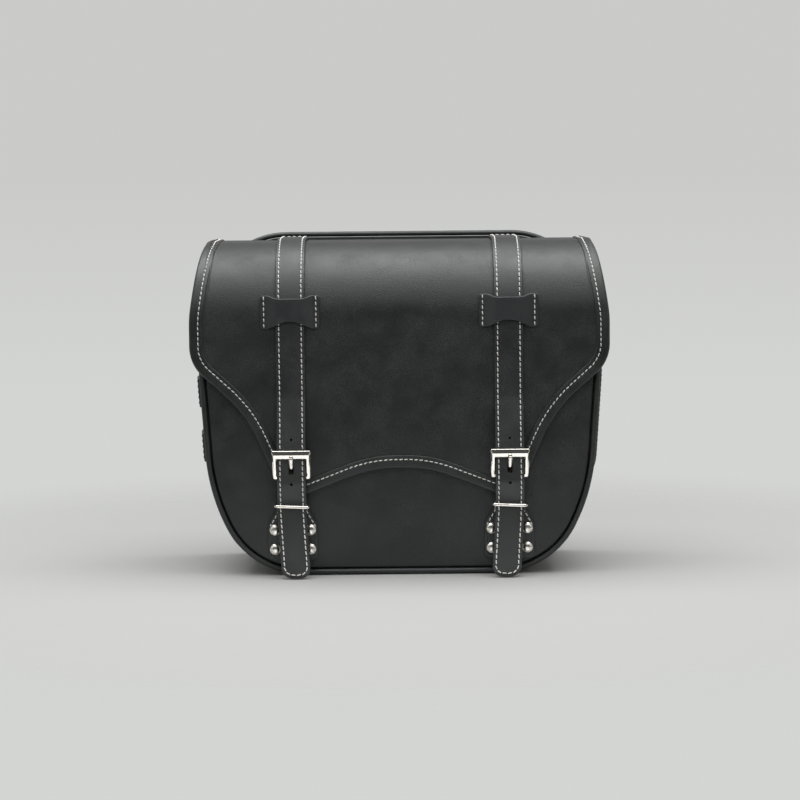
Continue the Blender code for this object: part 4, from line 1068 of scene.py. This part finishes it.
chape = {"half": 12.0, "thick": 2.0, "tail": 6.0, "end": 3.0, "slotAlong": 53.0,
         "slot": (6.0, 22.0, 2.9), "stud": (7.0, 4.0), "rowIn": 2.4, "rowAlong": (8, 40),
         "path": ((-75.4, 38, 0), (-75.4, 89.4, 2.37), (-80.2, 89.4, 2.37), (-80.2, 83, 10),
                  (-75.7, 70, 10), (-75.7, 54, 0))}
for x, word in bothSides:
    form, w = Former(roundLine(chape["path"], step=9), acrossX), chape["half"]
    rideOn(cutLeather("chape_leather_" + word,
                      roundBox(x - w, x + w, 0, form.end, chape["tail"], chape["end"]),
                      form, strapHide, 0.0, chape["thick"], grid=3.0, edge=0.5, under=0.3,
                      cuts=form.stations,
                      holes=[(slotLoop(x, chape["slotAlong"], *chape["slot"]), 0),
                             (circle(x, *chape["stud"]), 0)]),
           "lid", "strap_leather", "chape_" + word)
    for u in (x - w + chape["rowIn"], x + w - chape["rowIn"]):
        addRow("lid", form, [Vector((u, v)) for v in chape["rowAlong"]], threadSink, under=True)
print("straps, loops and chapes made")

# buckles and keepers

buckle = {"outer": 17.0, "low": -1.8, "high": 26.6, "inner": 13.15, "holeLow": 1.9,
          "holeHigh": 19.6, "depth": 1.8, "tilt": 27.5, "z": 87.8, "y": -77.8, "corner": 1.3,
          "holeCorner": 0.9, "taper": 0.7, "holeTaper": 0.28, "slimBar": 0.15}
# round the frame's section, as shares of its half width and depth: the legs are soft, and the
# top bar has a wide bevel outside
legSection = ((1.0, -0.2), (1.0, 0.4), (0.97, 0.66), (0.88, 0.86), (0.72, 0.97), (0.5, 1.0),
              (0.1, 1.0), (-0.4, 1.0), (-0.78, 0.99), (-0.93, 0.88), (-1.0, 0.66),
              (-1.0, -0.6), (-0.93, -0.88), (-0.78, -1.0), (-0.2, -1.0), (0.4, -1.0),
              (0.82, -1.0), (0.95, -0.88), (1.0, -0.66))
topSection = ((1.0, -0.45), (1.0, -0.3), (0.97, -0.12), (0.9, 0.0), (0.24, 0.9), (0.16, 0.98),
              (-0.1, 1.0), (-0.45, 1.0), (-0.78, 0.99), (-0.93, 0.88)) + legSection[10:]


def frameLoop(half, low, high, corner, taper):
    return roundLine([(taper - half, low, corner), (half - taper, low, corner),
                      (half, high, corner), (-half, high, corner)], True, 10)


def frameRings():
    # pairs of points on the outside and the hole of the frame, and a soft section between them
    outside = frameLoop(*(buckle[key] for key in ("outer", "low", "high", "corner", "taper")))
    hole = frameLoop(*(buckle[key] for key in ("inner", "holeLow", "holeHigh", "holeCorner",
                                               "holeTaper")))
    rings = []
    for i in range(len(outside)):
        n = (i + 1) % len(outside)
        parts = max(1, round((outside[n] - outside[i]).length / 2.5))
        for k in range(parts):
            a = outside[i].lerp(outside[n], k / parts)
            b = hole[i].lerp(hole[n], k / parts)
            middle, reach = (a + b) / 2, (a - b) / 2
            up = fade(reach.y / reach.length, 0.3, 0.75)
            slim = 1 - buckle["slimBar"] * fade(-reach.y / reach.length, 0.3, 0.75)
            rings.append([acrossY(-buckle["depth"] * slim * (q[1] * up + p[1] * (1 - up)),
                                  middle + reach * slim * (q[0] * up + p[0] * (1 - up)))
                          for p, q in zip(legSection, topSection)])
    return rings


def atBuckle(x, rings, angle):
    turn = Matrix.Rotation(radians(angle), 3, "X")
    middle = Vector((x, buckle["y"], buckle["z"]))
    return [[turn @ p + middle for p in ring] for ring in rings]


tongue = {"bore": 2.4, "wall": 1.5, "width": 3.9, "thick": 2.3, "length": 22.6, "angle": 38.3,
          "nose": 1.9, "eyeFrom": 40, "eyeTo": 342}


def tongueRings():
    # a strip that goes round the heel bar and on as the tongue, narrowing to a rounded nose
    line, sizes = [], []
    middle = tongue["bore"] + tongue["wall"] / 2
    first, last = radians(tongue["eyeFrom"]), radians(tongue["eyeTo"])
    for k in range(25):
        a = first + (last - first) * k / 24
        line.append(Vector((middle * sin(a), middle * cos(a))))
        sizes.append((tongue["wall"], tongue["width"]))
    steps, start = 14, middle + 0.6
    for k in range(1, steps + 1):
        share = k / steps
        z = start + (tongue["length"] - start) * share
        blend = fade(share, 0, 0.25)
        line.append(Vector((-0.35 * (1 - blend), z)))
        tip = max(0.0, (z - (tongue["length"] - tongue["nose"])) / tongue["nose"])
        nose = sqrt(max(1 - tip * tip * 0.97, 0.02))
        sizes.append(((tongue["wall"] + (tongue["thick"] - tongue["wall"]) * blend) * nose,
                      tongue["width"] * (1 - 0.06 * share) * (0.55 + 0.45 * nose)))
    rings = []
    for p, n, (thick, width) in zip(line, rightNormals(line), sizes):
        ring = []
        for t in around(16):
            c, s = (copysign(abs(v) ** 0.8, v) for v in (cos(t), sin(t)))
            ring.append(acrossX(width / 2 * c, p + n.normalized() * (thick / 2 * s)))
        rings.append(ring)
    return rings


keeper = {"half": 14.5, "back": -71.6, "front": -84.1, "wire": 1.5, "corner": 2.6, "z": 62.4,
          "tilt": 2.4}
for x, word in bothSides:
    rideOn(sweep("buckle_frame_nickel_" + word, atBuckle(x, frameRings(), buckle["tilt"]),
                 nickel, closed=True, sharp=20), "buckle_frame_" + word, "nickel",
           "buckle_frame_" + word)
    rideOn(sweep("buckle_tongue_nickel_" + word, atBuckle(x, tongueRings(), tongue["angle"]),
                 nickel, sharp=60), "buckle_tongue_" + word, "nickel", "buckle_tongue_" + word)
    w, lean = keeper["half"], tan(radians(keeper["tilt"]))
    ring = dense(roundBox(x - w, x + w, keeper["back"], keeper["front"], keeper["corner"],
                          keeper["corner"]), 3.0, True)
    rideOn(planarTube("wire_keeper_nickel_" + word, ring,
                      lambda across, p: Vector((p.x, p.y, across - lean * (p.x - x)
                                                if abs(p.x) > 1 else across)),
                      keeper["z"], keeper["wire"], nickelWire, closed=True, count=16),
           "wire_keeper_" + word, "nickel", "wire_keeper_" + word)
print("buckles and keepers made")

# riveted bases, press studs, side loops and patch

faceY = frontY - 0.3
base = {"bottom": 13.5, "top": 63.6, "neck": 12.5, "wide": 21.5, "neckZ": 60.3,
        "shoulderZ": 44.0, "thick": 3.0, "rowIn": 2.1, "rowOut": 9, "rowZ": (39.0, 60.2),
        "pitch": 4.1, "stud": (45.0, 4.2)}
baseForm = standing(faceY)
for x, word in bothSides:
    outline = roundLine(mirrored([
        (base["neck"], base["top"], 4.0), (base["neck"], base["neckZ"], 3.0),
        (base["wide"], base["shoulderZ"], 3.0), (base["wide"], base["bottom"], 5.0)], x), True, 8)
    rideOn(cutLeather("buckle_base_leather_" + word, outline, baseForm, tabHide, 0.0,
                      base["thick"], grid=2.6, edge=0.8, holes=[(circle(x, *base["stud"]), 0)]),
           "bag", "strap_leather", "buckle_base_" + word)
    low, high = base["rowZ"]
    for hand in (-1, 1):
        row = [p for p in dense(inset(outline, base["rowIn"]), 1.0)
               if (p.x - x) * hand > base["rowOut"] and low < p.y < high]
        addRow("bag", baseForm, sorted(row, key=lambda p: -p.y), base["thick"] - threadSink,
               pitch=base["pitch"])

rivet = {"faceY": -68.6, "spread": 15.5, "heights": (40.2, 23.2), "turn": 6.2, "seed": 4,
         "profile": ((0, 8.9), (1.4, 8.9), (1.6, 8.7), (1.6, 0.0), (5.0, 0.0), (5.15, -0.15),
                     (5.15, -0.5)), "dome": (5.1, 2.6, -0.5, 9)}


def domeProfile(radius, height, startY, steps=6):
    return [(radius * cos(k * pi / 2 / steps),
             startY - height * sin(k * pi / 2 / steps)) for k in range(steps + 1)]


def copiesTree(name, look):
    # puts one shape on every point of a mesh, each turned a little
    tree = newGroup(name, "Geometry",
                    (("Geometry", "Geometry"), ("Shape", "Object"), ("Turn", "Float"),
                     ("Seed", "Int")), (("Geometry", "Geometry"),))
    shape = tree.add("GeometryNodeObjectInfo", {"Object": tree.into["Shape"]})
    turn = tree.add("FunctionNodeRandomValue", {2: 0.0, 3: tree.into["Turn"],
                                                "Seed": tree.into["Seed"]}, data_type="FLOAT")
    placed = tree.add("GeometryNodeInstanceOnPoints",
                      {"Points": tree.into["Geometry"], "Instance": shape.outputs["Geometry"],
                       "Rotation": tree.add("CombineXYZ", {1: turn.outputs[1]})})
    real = tree.add("GeometryNodeRealizeInstances", {0: placed})
    tree.add("NodeGroupOutput", {0: tree.add("GeometryNodeSetMaterial", {0: real,
                                                                         "Material": look})})
    return tree.tree


def repeated(obj, tree, values):
    # gives the object a modifier with its named inputs set, and carries it out
    change = obj.modifiers.new("repeats", "NODES")
    change.node_group = tree
    for item in tree.interface.items_tree:
        if item.item_type == "SOCKET" and item.in_out == "INPUT" and item.name in values:
            change[item.identifier] = values[item.name]
    return baked(obj)


def rivets():
    profile = list(rivet["profile"]) + domeProfile(*rivet["dome"])[1:]
    one = turned("rivet_shape", profile, nickelDome, count=28)
    mesh = bpy.data.meshes.new("rivet_places")
    mesh.from_pydata([Vector((x + along, rivet["faceY"], z)) * mm for x, word in bothSides
                      for z in rivet["heights"] for along in (-rivet["spread"], rivet["spread"])],
                     [], [])
    obj = repeated(shown("domed_rivets", mesh), copiesTree("rivetCopies", nickelDome),
                   {"Shape": one, "Turn": rivet["turn"], "Seed": rivet["seed"]})
    bpy.data.objects.remove(one)
    obj.data.set_sharp_from_angle(angle=radians(40))
    return obj


rideOn(rivets(), "bag", "nickel", *["rivet_%s_%d" % (word, k) for x, word in bothSides
                                    for k in range(1, 5)])

# profiles of the stud and its socket, (radius, y), each ending in a dome (radius, height, y)
stud = {"z": 45.0, "dome": (3.2, 1.2, -71.1),
        "profile": ((0, faceY), (1.8, faceY), (1.8, -68.6), (4.3, -68.6), (4.5, -68.8),
                    (4.5, -69.2), (4.3, -69.4), (2.4, -69.4))}
socket = {"dome": (6.0, 1.5, -75.7),
          "profile": ((0, -72.8), (4.4, -72.8), (4.7, -72.5), (4.7, -71.5), (5.0, -71.3),
                      (5.7, -71.3), (6.0, -71.6), (6.0, -73.1), (1.8, -73.1), (1.8, -75.7))}
for x, word in bothSides:
    for name, body, part in (("press_stud", "bag", stud), ("stud_socket", "lid", socket)):
        rideOn(turned(name + "_nickel_" + word, list(part["profile"]) + domeProfile(*part["dome"]),
                      nickelWire, x, stud["z"]), body, "nickel", name + "_" + word)

sideLoop = {"heights": (("upper", 159.5), ("lower", 111.5)), "width": 26.0, "middle": -14.04,
            "path": ((-0.5, 37.05, 0), (-0.5, 24.05, 9), (-2.2, 18.05, 9)), "thick": 1.9,
            "corner": 2.0, "rowIn": 3.0, "rowEnd": 11.5}


def bodyHalfAt(z):
    line = bodyLine(bag["mouthZ"])
    for high, low in zip(line, line[1:]):
        if low.y <= z <= high.y:
            return low.x + (high.x - low.x) * (z - low.y) / (high.y - low.y)
    return line[0].x


for word, height in sideLoop["heights"]:
    middle, path = sideLoop["middle"], sideLoop["path"]
    line = roundLine([(out, middle + reach, r) for out, reach, r in path]
                     + [(out, middle - reach, r) for out, reach, r in path[::-1]], step=4)
    low, high = height - sideLoop["width"] / 2, height + sideLoop["width"] / 2
    faceX = {z: bodyHalfAt(z) for z in range(floor(low) - 3, ceil(high) + 4)}

    def sidePlace(z, p, faceX=faceX):
        a, share = floor(z), z - floor(z)
        return Vector((faceX[a] * (1 - share) + faceX[a + 1] * share + p.x, p.y, z))

    form = Former(line, sidePlace)
    end, c = form.end, sideLoop["corner"]
    outline = roundLine([(low, 0, c), (low, end, c), (high, end, c), (high, 0, c)], True, 8)
    rideOn(cutLeather("side_loop_leather_" + word, outline, form, sideHide, 0.0,
                      sideLoop["thick"], grid=3.0, edge=0.7, cuts=form.stations),
           "bag", "strap_leather", "side_loop_" + word)
    r, deep = sideLoop["rowIn"], sideLoop["rowEnd"]
    for first, last in ((r, deep), (end - r, end - deep)):
        box = [Vector(corner) for corner in ((low + r, last), (low + r, first), (high - r, first),
                                             (high - r, last), (low + r, last))]
        addRow("bag", form, box, sideLoop["thick"] - threadSink, thread="dark")

patch = {"lowZ": 88.0, "highZ": 214.0, "half": 29.0, "middle": -14.04, "lowCorner": 12.0,
         "highCorner": 3.0, "thick": 2.4, "lift": 0.3, "rowIn": 3.2}
flatGusset = Former(gussetForm.line, acrossY)


def patchOutline(inset):
    m, h, start = patch["middle"], patch["half"] - inset, gussetForm.end - bag["mouthZ"]
    return roundBox(m - h, m + h, start + patch["lowZ"] + inset, start + patch["highZ"] - inset,
                    patch["lowCorner"] - inset, max(patch["highCorner"] - inset, 0.4))


rideOn(cutLeather("side_patch_leather", patchOutline(0), flatGusset, tabHide, patch["lift"],
                  patch["thick"], edge=0.7), "bag", "body_leather", "side_patch")
row = patchOutline(patch["rowIn"])
addRow("bag", flatGusset, row + row[:1], patch["lift"] + patch["thick"] - threadSink)
print("bases, rivets, studs, loops and patch made")

# stitches

stitch = {"share": 0.64, "thread": 1.06, "rise": 0.45, "slant": 0.09, "seed": 7, "lift": 0.82}


def threadTree():
    # walks each line in equal steps and sets a small arched stitch on every one
    tree = newGroup("threadAlongRows", "Geometry",
                    (("Geometry", "Geometry"), ("Pitch", "Float", 0.0042),
                     ("Stitch Length", "Float", 0.0028), ("Thread Width", "Float", 0.001),
                     ("Rise", "Float", 0.0004), ("Slant", "Float", 0.05), ("Seed", "Int", 1),
                     ("Thread", "Material")), (("Geometry", "Geometry"),))
    add, into = tree.add, tree.into

    def times(value, factor):
        return tree.maths("MULTIPLY", value, factor)

    curve = add("GeometryNodeMeshToCurve", {0: into["Geometry"]})
    walk = add("GeometryNodeResampleCurve", {"Curve": curve, "Length": into["Pitch"]},
               mode="LENGTH")
    out = add("GeometryNodeInputNamedAttribute", {"Name": "surfaceNormal"},
              data_type="FLOAT_VECTOR")
    along = add("FunctionNodeAlignRotationToVector", {"Vector": add("GeometryNodeInputTangent")},
                axis="X")
    upright = add("FunctionNodeAlignRotationToVector", {"Rotation": along, "Vector": out},
                  axis="Z", pivot_axis="X")
    slant = add("FunctionNodeRandomValue", {2: times(into["Slant"], 0.2),
                                            3: times(into["Slant"], 2.0), "Seed": into["Seed"]},
                data_type="FLOAT")
    turn = add("FunctionNodeEulerToRotation", {0: add("CombineXYZ", {2: slant.outputs[1]})})
    slanted = add("FunctionNodeRotateRotation", {0: upright, 1: turn}, rotation_space="LOCAL")
    reach, dip = times(into["Stitch Length"], 0.5), times(into["Rise"], -0.55)
    arch = add("GeometryNodeCurveQuadraticBezier",
               {"Resolution": 6, "Start": add("CombineXYZ", {0: times(reach, -1.0), 2: dip}),
                "Middle": add("CombineXYZ", {2: times(into["Rise"], 1.35)}),
                "End": add("CombineXYZ", {0: reach, 2: dip})})
    section = add("GeometryNodeCurvePrimitiveCircle",
                  {"Resolution": 6, "Radius": times(into["Thread Width"], 0.5)})
    thread = add("GeometryNodeCurveToMesh", {"Curve": arch, "Profile Curve": section,
                                             "Fill Caps": True})
    placed = add("GeometryNodeInstanceOnPoints",
                 {"Points": walk, "Instance": add("GeometryNodeSetShadeSmooth", {0: thread}),
                  "Rotation": slanted})
    real = add("GeometryNodeRealizeInstances", {0: placed})
    add("NodeGroupOutput", {0: add("GeometryNodeSetMaterial", {0: real,
                                                               "Material": into["Thread"]})})
    return tree.tree


threadNodes = threadTree()


def sewn(name, rows, look, pitch):
    points, edges = [], []
    for row in rows:
        edges += [(len(points) + k, len(points) + k + 1) for k in range(len(row) - 1)]
        points += row
    mesh = bpy.data.meshes.new(name)
    mesh.from_pydata([place * mm for place, out in points], edges, [])
    layer = mesh.attributes.new("surfaceNormal", "FLOAT_VECTOR", "POINT")
    layer.data.foreach_set("vector", [c for place, out in points for c in out])
    return repeated(shown(name, mesh), threadNodes, {
        "Pitch": pitch * mm, "Stitch Length": pitch * stitch["share"] * mm,
        "Thread Width": stitch["thread"] * mm, "Rise": stitch["rise"] * mm,
        "Slant": stitch["slant"], "Seed": stitch["seed"], "Thread": look})


boundRow = offset(lidEdge(foldAlong + cover["bindingStart"] + 2), cover["bindingGroove"])
boundRow = dense(boundRow, 1.5)
mountRow = inset(mountEdge, mount["rowIn"])
addRow("lid", coverForm, boundRow, stitch["lift"])
addRow("lid", coverForm, boundRow, -cover["thick"] - stitch["lift"], under=True)
addRow("bag", mountForm, mountRow + mountRow[:1], mount["thick"] - mount["rowDeep"])
for form, row, under in mouthRows:
    addRow("bag", form, row, stitch["lift"])
    if under is not None:
        addRow("bag", form, row, under - stitch["lift"], under=True)
slots = {"bag": "body_leather", "lid": "binding_leather"}
for k, ((body, thread, pitch), rows) in enumerate(sorted(stitchRows.items())):
    rideOn(sewn("stitches_%s_%s_%d" % (body, thread, k), rows, threads[thread], pitch), body,
           slots[body])
print("stitches sewn:", {key: len(rows) for key, rows in stitchRows.items()})
